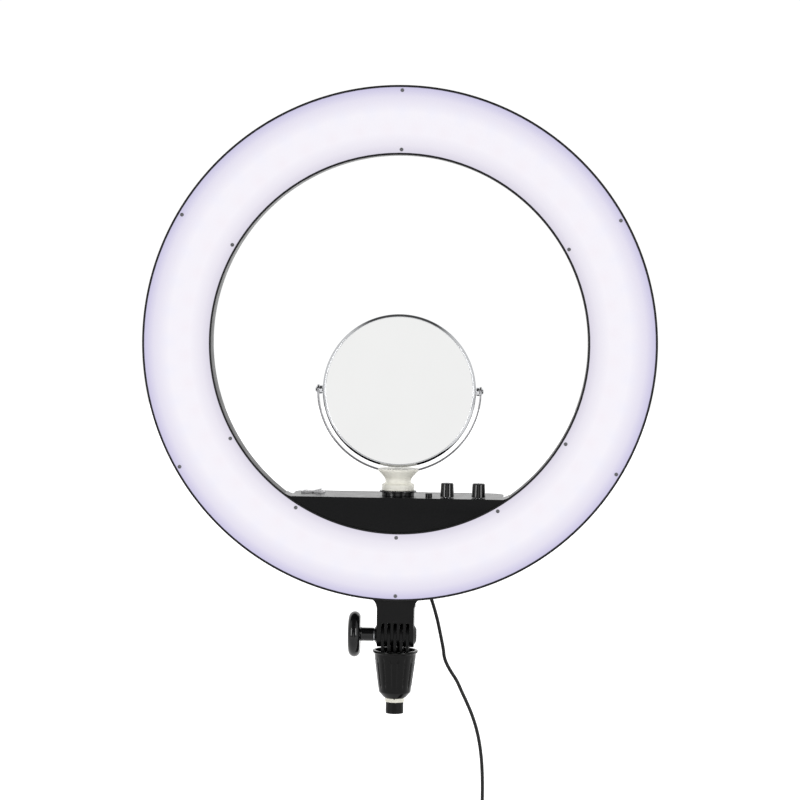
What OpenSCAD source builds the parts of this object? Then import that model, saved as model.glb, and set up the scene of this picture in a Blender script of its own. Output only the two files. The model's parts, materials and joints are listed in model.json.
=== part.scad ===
// Ring light head for a studio stand, with a control panel, a two-sided mirror,
// a finger tilt joint and a twist-lock collar on a 16 mm stand tube.
// The origin is the free lower end of the tube. Z is up and the light faces -Y.

/* [Ring] */
// Outer diameter of the ring housing
ring_d = 460; // [420:1:500]
// Diameter of the opening through the ring
opening_d = 336.4; // [310:0.2:350]
// Depth of the ring housing from rim to back
ring_depth = 28; // [24:0.5:36]
// Thickness of the housing's outer and inner walls
wall = 1.8; // [1.4:0.1:2.4]
// Thickness of the housing's back
back_wall = 2; // [1.6:0.1:3]
// Radius of the rounded edges at the back of the ring
back_round = 5; // [3:0.5:6]

/* [Diffuser and lamps] */
// Thickness of the opal diffuser
diffuser_t = 2.5; // [2:0.1:4]
// How far the diffuser sits behind the rim
diffuser_inset = 0.5; // [0.2:0.1:1.5]
// Diameter of the diffuser screws' heads
diffuser_screw_head_d = 3.4; // [2.8:0.1:4]
// Screws around each edge of the diffuser
diffuser_screws_per_edge = 6; // [6:1:8]
// Angle from straight down to each screw beside the control panel
panel_screw_angle = 31.5; // [28:0.5:34]
// Lamps in each row
lamps_per_row = 48; // [24:4:60]
// Side of each square lamp
lamp_w = 3; // [2:0.1:3.5]

/* [Control box] */
// Height of the crescent between the control panel and the bottom of the opening
crescent_h = 31; // [28:0.2:36]
// Wall thickness of the control box
box_wall = 2.2; // [1.8:0.1:2.6]
// How far the box reaches behind the ring's front rim
box_depth = 64; // [58:1:72]
// Height of the box behind the ring
box_h = 48; // [44:1:54]
// Fillet where the panel runs into the ring's inner wall
panel_fillet = 12; // [6:1:16]

/* [Controls] */
// Diameter of the control knobs at the panel
knob_d = 12.6; // [11:0.1:15]
// Diameter of the control knobs at the top
knob_top_d = 11.4; // [10:0.1:13]
// Height of the control knobs
knob_h = 12.6; // [10:0.1:16]
// Distance between the two control knobs
knob_pitch = 28.2; // [22:0.2:32]
// Distance of the colour knob from the panel's right end
knob_end = 24.6; // [23:0.2:32]
// Distance of the knobs behind the ring's front rim
knob_setback = 15.5; // [12:0.5:17]
// Diameter of the push button
button_d = 6.2; // [5:0.1:8]
// Height of the push button above the panel
button_h = 3.4; // [2.5:0.1:5]
// Distance of the push button from the brightness knob
button_gap = 16.5; // [14:0.5:19]
// Distance of the power switch from the panel's left end
switch_end = 19.3; // [17:0.2:26]
// Width of the power switch's frame
switch_w = 21; // [18:0.5:23]
// Front to back size of the power switch's frame
switch_l = 15; // [13:0.5:17]

/* [Mirror] */
// Diameter of the mirror over its rim
mirror_d = 138; // [120:1:140]
// Thickness of the mirror over its rim
mirror_t = 12; // [10:0.5:14]
// Thickness of each mirror glass
glass_t = 1.9; // [1.5:0.1:2.2]
// Distance of the mirror behind the ring's front rim
mirror_setback = 25; // [22:0.5:30]
// Gap between the mirror's rim and the yoke
yoke_gap = 3.4; // [2.8:0.1:5]
// Thickness of the yoke's strip
yoke_t = 1.6; // [1.2:0.1:2.4]
// Width of the yoke's strip
yoke_w = 9; // [7:0.5:11]
// Diameter of the mirror's black foot at its lip
foot_d = 33.2; // [30:0.2:36]
// Height of the mirror's black foot
foot_h = 4.8; // [4:0.2:7]

/* [Tilt joint] */
// Height of the ring's lowest point above the tilt axis
neck_h = 32; // [31:1:45]
// Width of the bracket's flare at the ring
flare_w = 44; // [40:1:50]
// Radius of the joint's fingers
finger_r = 11; // [10:0.25:12]
// Thickness of each finger
finger_t = 2.5; // [2:0.1:2.6]
// Gap between neighbouring fingers
finger_gap = 0.3; // [0.2:0.05:0.4]
// Thickness of the bracket's two outer fingers
outer_finger_t = 3.85; // [3.2:0.05:5]
// Diameter of the tilt bolt
tilt_bolt_d = 6; // [5:0.5:7]
// Diameter of the tilt knob
tilt_knob_d = 41; // [34:1:46]
// Thickness of the tilt knob's rounded disc
tilt_knob_t = 10.8; // [8:0.2:14]
// Diameter of the tilt knob's shaft
tilt_shaft_d = 12.2; // [10:0.2:14]
// Length of the tilt knob's shaft
tilt_shaft_l = 11.8; // [10:0.2:16]

/* [Stand socket] */
// Diameter of the stand tube
tube_d = 16; // [15.8:0.1:16.2]
// Wall of the stand tube
tube_wall = 1; // [0.8:0.1:1.5]
// How much the tube is turned down where the sleeve grips it
tube_step = 0.2; // [0.1:0.05:0.4]
// Length of stand tube that shows below the collar
tube_free = 10.4; // [8:0.2:40]
// Diameter of the collar's rim
collar_d = 40.8; // [40:0.2:46]
// Length of the collar
collar_l = 43.4; // [40:0.2:50]
// Number of grooves around the collar
collar_grooves = 16; // [10:1:20]

/* [Cord] */
// Diameter of the power cord
cord_d = 3.2; // [2.8:0.1:3.4]
// Turns in the tied coil, in rows of four
coil_turns = 16; // [16:16:16]
// Width of the power adapter
adapter_w = 42; // [36:1:50]
// Depth of the power adapter
adapter_t = 30; // [26:1:36]
// Height of the power adapter
adapter_h = 62; // [50:1:72]

/* [Hidden] */
$fn = 48;
fine = 144;
fit = 0.06;
gap = 0.2;
eps = 0.01;

// Heights of the joint and the ring, from the tube's free end
collar_top_drop = 13.6;
collet_show = 3.4;
hinge_z = tube_free + collet_show + collar_l + collar_top_drop;
ring_rise = ring_d / 2 + neck_h;
ring_z = hinge_z + ring_rise;

// Planes of the ring, front to back
front_y = -ring_depth / 2;
back_y = ring_depth / 2;
floor_y = back_y - back_wall;
diffuser_y = front_y + diffuser_inset;
diffuser_back_y = diffuser_y + diffuser_t;

// Radii of the ring
ring_r = ring_d / 2;
open_r = opening_d / 2;
outer_in_r = ring_r - wall;
inner_out_r = open_r + wall;
boss_r = 3;
screw_edge = 2.9;
outer_screw_r = outer_in_r - screw_edge;
inner_screw_r = inner_out_r + screw_edge;
screw_r = 1;

// Lamp board
board_t = 1.6;
board_lift = 2;
board_back_y = floor_y - board_lift;
board_y = board_back_y - board_t;
board_in_r = inner_screw_r + boss_r + 1;
board_out_r = outer_screw_r - boss_r - 1;
board_mid_r = (board_in_r + board_out_r) / 2;
row_spread = 8;
lamp_h = 0.8;
board_screw_count = 8;
board_screw_r = 1.5;
board_screw_turn = 22.5;
wire_r = 1;
wire_x = 6;
wire_y = board_y - wire_r - 0.1;

// Control box
box_back_y = front_y + box_depth;
cover_t = 6;
cover_y = box_back_y - cover_t;
rear_y = back_y + 0.4;
panel_z = crescent_h - open_r;
panel_half_w = sqrt(open_r * open_r - panel_z * panel_z);
box_half_w = panel_half_w - 2.3;
box_low = panel_z - box_h;
under_panel_z = panel_z - box_wall;
box_round = 12;
box_r = open_r - gap;
fascia_y = front_y + 0.4;
post_r = 3.2;
cover_posts = [[35 - box_half_w, panel_z - 9], [box_half_w - 9, panel_z - 9],
    [9 - box_half_w, box_low + 9], [box_half_w - 9, box_low + 9]];
box_screw_r = open_r + 14;
box_screw_places = [for (s = [-1, 1]) for (inset = [39, 19]) let (x = s * (box_half_w - inset))
    [x, -sqrt(box_screw_r * box_screw_r - x * x)]];
vent_count = 9;
vent_pitch = 6;
vent_h = 22;
vent_w = 2.2;

// Controls
knob_y = front_y + knob_setback;
colour_x = panel_half_w - knob_end;
brightness_x = colour_x - knob_pitch;
button_x = brightness_x - button_gap;
switch_x = switch_end - panel_half_w;
knob_lift = 0.5;
bush_r = 3.5;
shaft_r = 3;
pot_w = 9.6;
pot_h = 5.6;
button_y = knob_y + 3;
switch_y = 30;
rocker_w = switch_w - 4.6;
rocker_l = switch_l - 4;
rocker_pin_r = 1;
switch_frame_h = 1.6;
switch_body_h = 16;

// Driver board behind the panel
driver_size = [116, 36];
driver_x = 8;
driver_lift = 4;
driver_y = rear_y + box_wall + driver_lift;
driver_z = panel_z - 6 - driver_size[1] / 2;
driver_hole = 3.5;

// Power inlet in the floor of the box
jack_x = 25;
jack_y = 32;
jack_r = 4.2;
plug_pin_r = 2.75;
plug_r = 4.9;
plug_l = 17;
relief_l = 12;

// Mirror
mirror_y = front_y + mirror_setback;
mirror_r = mirror_d / 2;
yoke_in_r = mirror_r + yoke_gap;
yoke_r = yoke_in_r + yoke_t;
cradle_top = 24.6;
cradle_clear = 1.2;
mirror_z = panel_z + cradle_top + cradle_clear + mirror_r;
foot_post_r = 5;
foot_post_h = 9;
glass_r = mirror_r - 2.1;
rim_lip = 0.9;
core_t = mirror_t - 2 * (rim_lip + glass_t + 0.1);
pin_r = 1.5;
pivot_r = 4.2;
pin_neck_r = 2.2;
dish = 1.2;

// Tilt joint
pitch = finger_t + finger_gap;
neck_w = 9 * pitch + finger_gap + 2 * outer_finger_t;
slot_floor = finger_r + 0.6;
knuckle_floor = 18;
boss_h = 2.2;
boss_base_r = 9.2;
boss_top_r = 5.8;
neck_half = neck_w / 2;
boss_face = neck_half + boss_h;
washer_t = 0.8;
bolt_r = tilt_bolt_d / 2;
tongue_half = 17;
tongue_t = 4.5;
tongue_top = box_low - 6.8;
tongue_screws = [for (x = [-10, 10]) for (z = [11, 26]) [x, z - ring_r]];

// Stand socket
tube_r = tube_d / 2;
tube_in_r = tube_r - tube_wall;
grip_r = tube_r - tube_step;
socket_r = 11.6;
cup_r = 18;
cup_floor = 24;
tube_top_drop = 27;
collar_r = collar_d / 2;
collar_low = collar_top_drop + collar_l;
collet_low = collar_low + collet_show;
socket_low = collar_low - 8;
collar_foot_r = 14.4;
collar_foot_h = 5.6;
collar_mouth_r = tube_r + 0.9;

// Route of the cord from the plug to its coil, in round numbers
cord_r = cord_d / 2;
cord_out_z = ring_z + box_low - plug_l - relief_l;
coil_z = -120;
cord_route = [[25, 32, cord_out_z - 0.1], [25.2, 32, 112], [27.5, 32, 106], [31, 31.5, 99],
    [36, 30.5, 83], [39.5, 30, 68], [42.2, 30, 55], [43.4, 30, 47], [45.6, 30, 41],
    [49.5, 30, 34], [55, 30, 25.5], [60, 30, 15], [65, 30, 4.5], [69.5, 30, -6],
    [73.5, 30, -18], [76.5, 30, -31], [78.5, 30, -45], [79.6, 30, -60], [80, 30, -76],
    [80, 30, -98], [80, 30, coil_z]];
coil_mean_r = 5.5 * cord_d;
coil_layers = 4;
coil_rows = coil_turns / coil_layers;
coil_out_r = coil_mean_r + coil_layers * cord_r;
coil_in_r = coil_mean_r - coil_layers * cord_r;
coil_x = 80 - (coil_out_r - cord_r);
coil_y = 30 + (coil_rows - 1) * cord_r;
tail_y = 30 + (coil_rows - 1) * cord_d;
tail_z = coil_z - coil_out_r - 14;
tie_t = 1;
adapter_relief_l = 12;
adapter_top = tail_z - adapter_relief_l;
adapter_low = adapter_top - adapter_h;

// A flat outline in X and Z made solid between two depths
module slab(y0, y1) {
    translate([0, y1, 0])
        rotate([90, 0, 0])
            linear_extrude(y1 - y0)
                children();
}

// A profile of radius and depth turned about a Y axis
module turned(steps = fine) {
    rotate([-90, 0, 0])
        rotate_extrude($fn = steps)
            children();
}

// A rod along Y
module rod_y(r, y0, y1, steps = 32) {
    translate([0, y0, 0])
        rotate([-90, 0, 0])
            cylinder(r = r, h = y1 - y0, $fn = steps);
}

// A rod along X
module rod_x(r, x0, x1, steps = 48) {
    translate([x0, 0, 0])
        rotate([0, 90, 0])
            cylinder(r = r, h = x1 - x0, $fn = steps);
}

// A tapered rod along X
module cone_x(r0, r1, x0, x1, steps = 48) {
    translate([x0, 0, 0])
        rotate([0, 90, 0])
            cylinder(r1 = r0, r2 = r1, h = x1 - x0, $fn = steps);
}

module at_ring() {
    translate([0, 0, ring_z])
        children();
}

module at_hinge() {
    translate([0, 0, hinge_z])
        children();
}

module at_mirror() {
    translate([0, mirror_y, ring_z + mirror_z])
        children();
}

function arc(centre, r, from, to, steps = 5) = [for (i = [0:steps])
    let (a = from + (to - from) * i / steps)
    centre + r * [cos(a), sin(a)]];

// Angles of the diffuser screws, from the ring's right side
function edge_angles() = [for (i = [0:diffuser_screws_per_edge - 1])
    90 + 360 * i / diffuser_screws_per_edge];
function inner_angles() = concat(edge_angles(), [-90 - panel_screw_angle, -90 + panel_screw_angle]);
function around(r, angles) = [for (a = angles) [r * cos(a), r * sin(a)]];
function diffuser_screw_places() = concat(around(outer_screw_r, edge_angles()),
    around(inner_screw_r, inner_angles()));
function board_screw_places() = around(board_mid_r,
    [for (i = [0:board_screw_count - 1]) board_screw_turn + 360 * i / board_screw_count]);

module each_place(places) {
    for (p = places)
        translate([p[0], 0, p[1]])
            children();
}

// Ring housing: an annular tray open to the front
module housing_profile() {
    r = back_round;
    c = r - wall;
    polygon(concat(
        [[ring_r, front_y]],
        arc([ring_r - r, back_y - r], r, 0, 90),
        arc([open_r + r, back_y - r], r, 90, 180),
        [[open_r, front_y], [inner_out_r, front_y]],
        arc([open_r + r, floor_y - c], c, 180, 90),
        arc([ring_r - r, floor_y - c], c, 90, 0),
        [[outer_in_r, front_y]]));
}

module ring_housing() {
    color("#1b1b1d")
        at_ring()
            difference() {
                union() {
                    turned()
                        housing_profile();
                    each_place(diffuser_screw_places())
                        rod_y(boss_r, diffuser_back_y, floor_y + eps);
                    each_place(board_screw_places())
                        rod_y(boss_r, board_back_y, floor_y + eps);
                    each_place(concat(box_screw_places, tongue_screws))
                        rod_y(boss_r + 0.6, board_back_y + 0.2, floor_y + eps);
                }
                each_place(diffuser_screw_places())
                    rod_y(screw_r + fit, diffuser_back_y - 1, diffuser_back_y + 8);
                each_place(board_screw_places())
                    rod_y(board_screw_r + fit, board_back_y - 1, back_y - 0.8);
                each_place(concat(box_screw_places, tongue_screws))
                    rod_y(board_screw_r + fit, board_back_y, back_y + 1);
                for (x = [-wire_x, wire_x])
                    translate([x, wire_y, -open_r - wall / 2])
                        cylinder(r = 1.3, h = 3 * wall, center = true, $fn = 24);
            }
}

module diffuser() {
    color("#f2eff8")
        at_ring()
            difference() {
                turned()
                    polygon([[inner_out_r + gap, diffuser_y], [outer_in_r - gap, diffuser_y],
                        [outer_in_r - gap, diffuser_back_y], [inner_out_r + gap, diffuser_back_y]]);
                each_place(diffuser_screw_places())
                    rod_y(screw_r + 0.4, diffuser_y - 1, diffuser_back_y + 1);
            }
}

// Pan head screw along Y, its head facing the front (out = -1) or the back (out = 1)
module screw_y(head_r, head_h, shank_r, shank_l, seat_y, out) {
    y = out < 0 ? seat_y - head_h : seat_y;
    s = out < 0 ? seat_y - eps : seat_y - shank_l;
    difference() {
        rod_y(head_r, y, y + head_h);
        translate([0, out < 0 ? y : y + head_h, 0])
            cube([0.4 * head_r, head_h, 1.4 * head_r], center = true);
        translate([0, out < 0 ? y : y + head_h, 0])
            cube([1.4 * head_r, head_h, 0.4 * head_r], center = true);
    }
    rod_y(shank_r, s, s + shank_l);
}

module diffuser_screws() {
    color("#55555c")
        at_ring()
            each_place(diffuser_screw_places())
                screw_y(diffuser_screw_head_d / 2, 0.8, screw_r, diffuser_t + 6, diffuser_y, -1);
}

module led_board() {
    color("#e9e9e6")
        at_ring()
            difference() {
                turned()
                    polygon([[board_in_r, board_y], [board_out_r, board_y],
                        [board_out_r, board_back_y], [board_in_r, board_back_y]]);
                each_place(board_screw_places())
                    rod_y(board_screw_r + 0.2, board_y - 1, board_back_y + 1);
            }
}

module lamps(r, turn) {
    at_ring()
        for (i = [0:lamps_per_row - 1])
            rotate([0, turn + 360 * i / lamps_per_row, 0])
                translate([r - lamp_w / 2, board_y - lamp_h, -lamp_w / 2])
                    cube([lamp_w, lamp_h, lamp_w]);
}

module cool_leds() {
    color("#eef3ff")
        lamps(board_mid_r + row_spread, 0);
}

module warm_leds() {
    color("#ffe2a8")
        lamps(board_mid_r - row_spread, 180 / lamps_per_row);
}

module board_screws() {
    color("#b9bbc0")
        at_ring()
            each_place(board_screw_places())
                screw_y(2.8, 1.8, board_screw_r, 4.5, board_y, -1);
}

// Two insulated wires from the control box through the ring's inner wall
module led_wires() {
    color("#b3261e")
        at_ring()
            for (x = [-wire_x, wire_x])
                translate([x, wire_y, -board_in_r - 2])
                    cylinder(r = wire_r, h = board_in_r - box_r + box_wall + 4, $fn = 24);
}

// Outline of the crescent between the panel and the ring's inner wall
module crescent(r, top, fillet) {
    corner = sqrt(r * r - top * top);
    centre_z = top + fillet;
    centre_x = sqrt((r - fillet) * (r - fillet) - centre_z * centre_z);
    touch = [centre_x, centre_z] * r / (r - fillet);
    difference() {
        circle(r = r, $fn = 240);
        translate([-r, top])
            square([2 * r, 2 * r]);
    }
    for (s = [-1, 1])
        difference() {
            intersection() {
                circle(r = r, $fn = 240);
                polygon([[s * centre_x, top - 1], [s * (r + 2), top - 1],
                    [s * (r + 2), touch[1]], [s * touch[0], touch[1]]]);
            }
            translate([s * centre_x, centre_z])
                circle(r = fillet, $fn = 64);
        }
}

// Front view outline of the box behind the ring
module rear_outline(inset) {
    w = box_half_w - inset;
    low = box_low + inset;
    top = panel_z - inset;
    r = box_round - inset;
    polygon(concat(
        [[w, top], [-w, top]],
        arc([-w + r, low + r], r, 180, 270),
        arc([w - r, low + r], r, 270, 360)));
}

// Plan outline of the box behind the ring
module rear_plan(inset) {
    w = box_half_w - inset;
    far = box_back_y - inset;
    r = box_round - inset;
    polygon(concat(
        [[-w, rear_y + inset], [w, rear_y + inset]],
        arc([w - r, far - r], r, 0, 90),
        arc([-w + r, far - r], r, 90, 180)));
}

module rear_box(inset) {
    intersection() {
        slab(rear_y + inset, box_back_y - inset)
            rear_outline(inset);
        translate([0, 0, box_low - 1])
            linear_extrude(box_h + 2)
                rear_plan(inset);
    }
}

module box_body() {
    slab(fascia_y, rear_y + eps)
        crescent(box_r, panel_z, panel_fillet);
    rear_box(0);
}

module box_room() {
    slab(fascia_y + box_wall, rear_y + box_wall + eps)
        difference() {
            circle(r = box_r - box_wall, $fn = 240);
            translate([-box_r, under_panel_z])
                square(2 * box_r);
        }
    rear_box(box_wall);
}

module control_box() {
    color("#202124")
        at_ring()
            difference() {
                union() {
                    difference() {
                        box_body();
                        box_room();
                    }
                    each_place(cover_posts)
                        rod_y(post_r, rear_y, cover_y - 1);
                    each_place(driver_holes())
                        rod_y(post_r, rear_y, driver_y);
                    // webs that carry the upper posts from the panel
                    for (p = driver_holes())
                        if (p[1] > driver_z)
                            translate([p[0] - 1.2, rear_y, p[1]])
                                cube([2.4, driver_lift + box_wall - 0.5, panel_z - p[1] - 1]);
                }
                translate([-200, cover_y - fit, -300])
                    cube([400, 100, 200]);
                each_place(cover_posts)
                    rod_y(board_screw_r + fit, cover_y - 12, cover_y + 1);
                each_place(driver_holes())
                    rod_y(board_screw_r + fit, driver_y - 5, driver_y + 1);
                each_place(box_screw_places)
                    rod_y(board_screw_r + 0.2, rear_y - 1, rear_y + box_wall + 1);
                panel_holes();
                translate([jack_x, jack_y, box_low - 1])
                    cylinder(r = jack_r + fit, h = box_wall + 2);
                for (x = [-wire_x, wire_x])
                    translate([x, wire_y, -box_r + box_wall / 2])
                        cylinder(r = 1.3, h = 3 * box_wall, center = true, $fn = 24);
            }
}

function driver_holes() = [for (x = [-1, 1]) for (z = [-1, 1])
    [driver_x + x * (driver_size[0] / 2 - driver_hole), driver_z + z * (driver_size[1] / 2 - driver_hole)]];

// Openings of the panel for the controls and the mirror's screw
module panel_holes() {
    through = box_wall + 2;
    for (x = [brightness_x, colour_x])
        translate([x, knob_y, panel_z - box_wall - 1])
            cylinder(r = bush_r + fit, h = through);
    translate([button_x, button_y, panel_z - box_wall - 1])
        cylinder(r = button_d / 2 + fit, h = through);
    translate([0, mirror_y, panel_z - box_wall - 1])
        cylinder(r = 2.2, h = through);
    translate([switch_x, switch_y, panel_z])
        cube([switch_w - 2 + 0.2, switch_l - 2 + 0.2, 2 * through], center = true);
}

module box_screws() {
    color("#8d8f95")
        at_ring()
            each_place(box_screw_places)
                screw_y(2.8, 1.8, board_screw_r, box_wall + 4, rear_y + box_wall, 1);
}

module box_cover() {
    color("#1e1f21")
        at_ring()
            difference() {
                intersection() {
                    rear_box(0);
                    translate([-200, cover_y + fit, -300])
                        cube([400, 100, 200]);
                }
                intersection() {
                    rear_box(box_wall);
                    translate([-200, cover_y - 1, -300])
                        cube([400, 100, 200]);
                }
                for (i = [0:vent_count - 1])
                    for (side = [-1, 1])
                        translate([side * (20 + i * vent_pitch) - vent_w / 2, cover_y, panel_z - 35])
                            cube([vent_w, cover_t + 2, vent_h]);
                each_place(cover_posts)
                    rod_y(board_screw_r + 0.3, cover_y - 1, box_back_y + 1);
            }
}

module cover_screws() {
    color("#3c3d41")
        at_ring()
            each_place(cover_posts)
                screw_y(2.8, 1.6, board_screw_r, cover_t + 8, box_back_y, 1);
}

module driver_board() {
    color("#1f6b3a")
        at_ring()
            difference() {
                translate([driver_x - driver_size[0] / 2, driver_y, driver_z - driver_size[1] / 2])
                    cube([driver_size[0], board_t, driver_size[1]]);
                each_place(driver_holes())
                    rod_y(board_screw_r + 0.2, driver_y - 1, driver_y + board_t + 1);
            }
}

// Coil, capacitors, transistors and a connector on the driver board
module driver_parts() {
    y = driver_y + board_t;
    color("#33363b")
        at_ring()
            translate([driver_x, y, driver_z]) {
                for (x = [-38, -26])
                    translate([x, 0, 4])
                        rod_y(4, 0, 11);
                translate([-10, 0, -6])
                    cube([14, 8, 14]);
                for (x = [12, 24, 36])
                    translate([x, 0, 2])
                        cube([7, 4.5, 9]);
                translate([-48, 0, -12])
                    cube([12, 6, 6]);
                translate([-8, 0, 10])
                    cube([10, 3, 5]);
            }
}

module driver_screws() {
    color("#b9bbc0")
        at_ring()
            each_place(driver_holes())
                screw_y(2.8, 1.8, board_screw_r, 5, driver_y + board_t, 1);
}

module switch_frame() {
    color("#2a2b2e")
        at_ring()
            translate([switch_x, switch_y, panel_z])
                difference() {
                    union() {
                        translate([-switch_w / 2, -switch_l / 2, 0])
                            cube([switch_w, switch_l, switch_frame_h]);
                        translate([-switch_w / 2 + 1, -switch_l / 2 + 1, -switch_body_h])
                            cube([switch_w - 2, switch_l - 2, switch_body_h + eps]);
                        for (x = [-6, 0, 6])
                            translate([x - 0.4, -2.4, -switch_body_h - 6])
                                cube([0.8, 4.8, 6 + eps]);
                    }
                    translate([-rocker_w / 2 - 0.3, -rocker_l / 2 - 0.3, -10])
                        cube([rocker_w + 0.6, rocker_l + 0.6, 20]);
                    rod_y(rocker_pin_r + fit, -switch_l, switch_l);
                }
}

// The rocker tips about a Y axis through its own pin
module power_rocker() {
    half = rocker_l / 2;
    r = rocker_w / 2;
    color("#3a3b3f")
        at_ring()
            translate([switch_x, switch_y, panel_z]) {
                slab(-half, half)
                    polygon(concat(arc([0, 0], r, -14, 27, 4), [[0, 1.9]], arc([0, 0], r, 172, 197, 3),
                        [[-3, -5], [3, -5]]));
                rod_y(rocker_pin_r, -half - 0.8, half + 0.8);
            }
}

// A panel potentiometer with its bush and nut
module pot(x) {
    color("#8f9298")
        at_ring()
            translate([x, knob_y, under_panel_z])
                difference() {
                    union() {
                        translate([-pot_w / 2, -pot_w / 2, -pot_h])
                            cube([pot_w, pot_w, pot_h - eps]);
                        translate([0, 0, -1])
                            cylinder(r = bush_r, h = box_wall + knob_lift + 0.8);
                    }
                    translate([0, 0, -pot_h + 1])
                        cylinder(r = shaft_r + fit, h = pot_h + 10);
                }
}

module pot_shaft(x) {
    color("#c9cbd0")
        at_ring()
            translate([x, knob_y, under_panel_z - pot_h + 1.4])
                cylinder(r = shaft_r, h = pot_h - 1.4 + box_wall + knob_lift + 8);
}

module knob(x) {
    top = knob_h - 0.8;
    color("#141416")
        at_ring()
            translate([x, knob_y, panel_z + knob_lift])
                difference() {
                    rotate_extrude($fn = 96)
                        polygon([[shaft_r + 0.02, 0], [knob_d / 2, 0], [knob_top_d / 2, top],
                            [knob_top_d / 2 - 0.8, knob_h], [0, knob_h], [0, 8.1],
                            [shaft_r + 0.02, 8.1]]);
                    translate([-0.4, -knob_top_d / 2, knob_h - 0.5])
                        cube([0.8, knob_top_d / 2 - 1.5, 1]);
                }
}

module brightness_pot() {
    pot(brightness_x);
}

module colour_pot() {
    pot(colour_x);
}

module brightness_shaft() {
    pot_shaft(brightness_x);
}

module colour_shaft() {
    pot_shaft(colour_x);
}

module brightness_knob() {
    knob(brightness_x);
}

module colour_knob() {
    knob(colour_x);
}

module button_switch() {
    color("#2c2d30")
        at_ring()
            translate([button_x, button_y, under_panel_z])
                difference() {
                    translate([-4.5, -4.5, -8])
                        cube([9, 9, 7.8]);
                    translate([0, 0, -8 + 2])
                        cylinder(r = button_d / 2 + 0.5, h = 10);
                }
}

module push_button() {
    color("#141416")
        at_ring()
            translate([button_x, button_y, panel_z])
                rotate_extrude($fn = 64)
                    polygon([[0, -box_wall - 4], [button_d / 2, -box_wall - 4],
                        [button_d / 2, button_h - 0.5], [button_d / 2 - 0.5, button_h], [0, button_h]]);
}

// Foot of the mirror, screwed to the panel from inside the box
module mirror_foot() {
    r = foot_d / 2;
    color("#161618")
        at_ring()
            translate([0, mirror_y, panel_z])
                difference() {
                    union() {
                        cylinder(r = r - 2, h = foot_h - 1.2);
                        translate([0, 0, foot_h - 1.4])
                            cylinder(r = r, h = 1.4, $fn = 72);
                        cylinder(r = foot_post_r, h = foot_h + foot_post_h);
                    }
                    translate([0, 0, -1])
                        cylinder(r = 2 + fit, h = 9);
                }
}

module foot_screw() {
    color("#b9bbc0")
        at_ring()
            translate([0, mirror_y, under_panel_z]) {
                translate([0, 0, -2.2])
                    cylinder(r = 3.8, h = 2.2);
                cylinder(r = 2, h = box_wall + 7);
            }
}

module mirror_pedestal() {
    base = foot_h + 0.1;
    color("#efeddf")
        at_ring()
            translate([0, mirror_y, panel_z])
                difference() {
                    rotate_extrude($fn = 96)
                        polygon([[foot_post_r + fit, base], [14.2, base], [14.7, base + 0.6],
                            [14.7, 10], [14, 10.8], [12.4, 11.2], [11.8, 12.2], [11.8, 14.6],
                            [12.3, 16], [14.4, 18.4], [16.9, 21], [18.6, 22.8], [19, 23.6],
                            [18.6, cradle_top], [0, cradle_top],
                            [0, base + foot_post_h + 0.2], [foot_post_r + fit, base + foot_post_h + 0.2]]);
                    translate([0, 0, mirror_z - panel_z])
                        turned()
                            polygon([[yoke_in_r - 0.1, -yoke_w / 2 - 0.1], [yoke_r + 0.1, -yoke_w / 2 - 0.1],
                                [yoke_r + 0.1, yoke_w / 2 + 0.1], [yoke_in_r - 0.1, yoke_w / 2 + 0.1]]);
                }
}

// Half-round strip with a rounded ear at each pivot
module mirror_yoke() {
    color("#c8cace")
        at_mirror()
            difference() {
                intersection() {
                    turned()
                        polygon([[yoke_in_r, -yoke_w / 2], [yoke_r, -yoke_w / 2],
                            [yoke_r, yoke_w / 2], [yoke_in_r, yoke_w / 2]]);
                    union() {
                        translate([-100, -10, -100])
                            cube([200, 20, 100]);
                        rod_x(yoke_w / 2 + eps, -100, 100, 64);
                    }
                }
                rod_x(pin_neck_r + fit, -100, 100);
            }
}

// Chrome pivots between the yoke and the rim
module pivot_pins() {
    color("#d4d6da")
        at_mirror()
            for (turn = [0, 180])
                rotate([0, 0, turn]) {
                    rod_x(pin_r, mirror_r - 7, yoke_in_r);
                    rod_x(pivot_r, mirror_r + 0.35, yoke_in_r - 0.35);
                    rod_x(pin_neck_r, yoke_in_r - 0.4, yoke_r + 0.4);
                    cone_x(3.6, 2.6, yoke_r + 0.35, yoke_r + 1.6);
                }
}

module mirror_rim() {
    h = mirror_t / 2;
    color("#cfd1d5")
        at_mirror()
            difference() {
                turned()
                    polygon([[glass_r - 0.8, -h], [mirror_r - 1.4, -h], [mirror_r - 0.4, -h + 1],
                        [mirror_r, -h + 2.6], [mirror_r, h - 2.6], [mirror_r - 0.4, h - 1],
                        [mirror_r - 1.4, h], [glass_r - 0.8, h], [glass_r - 0.8, h - rim_lip],
                        [glass_r + 0.1, h - rim_lip], [glass_r + 0.1, -h + rim_lip],
                        [glass_r - 0.8, -h + rim_lip]]);
                rod_x(pin_r + fit, -100, 100);
            }
}

module mirror_core() {
    color("#2b2c2f")
        at_mirror()
            difference() {
                rod_y(glass_r, -core_t / 2, core_t / 2, fine);
                rod_x(pin_r + fit, -100, 100);
            }
}

module mirror_glass() {
    color("#dfe3e6")
        at_mirror()
            rod_y(glass_r, -core_t / 2 - 0.05 - glass_t, -core_t / 2 - 0.05, fine);
}

// The magnifying side is slightly dished
module magnifying_glass() {
    back = core_t / 2 + 0.05;
    face = back + glass_t;
    color("#dfe3e6")
        at_mirror()
            turned()
                polygon(concat([[0, back], [glass_r, back], [glass_r, face]],
                    [for (i = [6:-1:0]) let (r = (glass_r - 1.5) * i / 6)
                        [r, face - dish * (1 - pow(i / 6, 2))]]));
}

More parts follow.
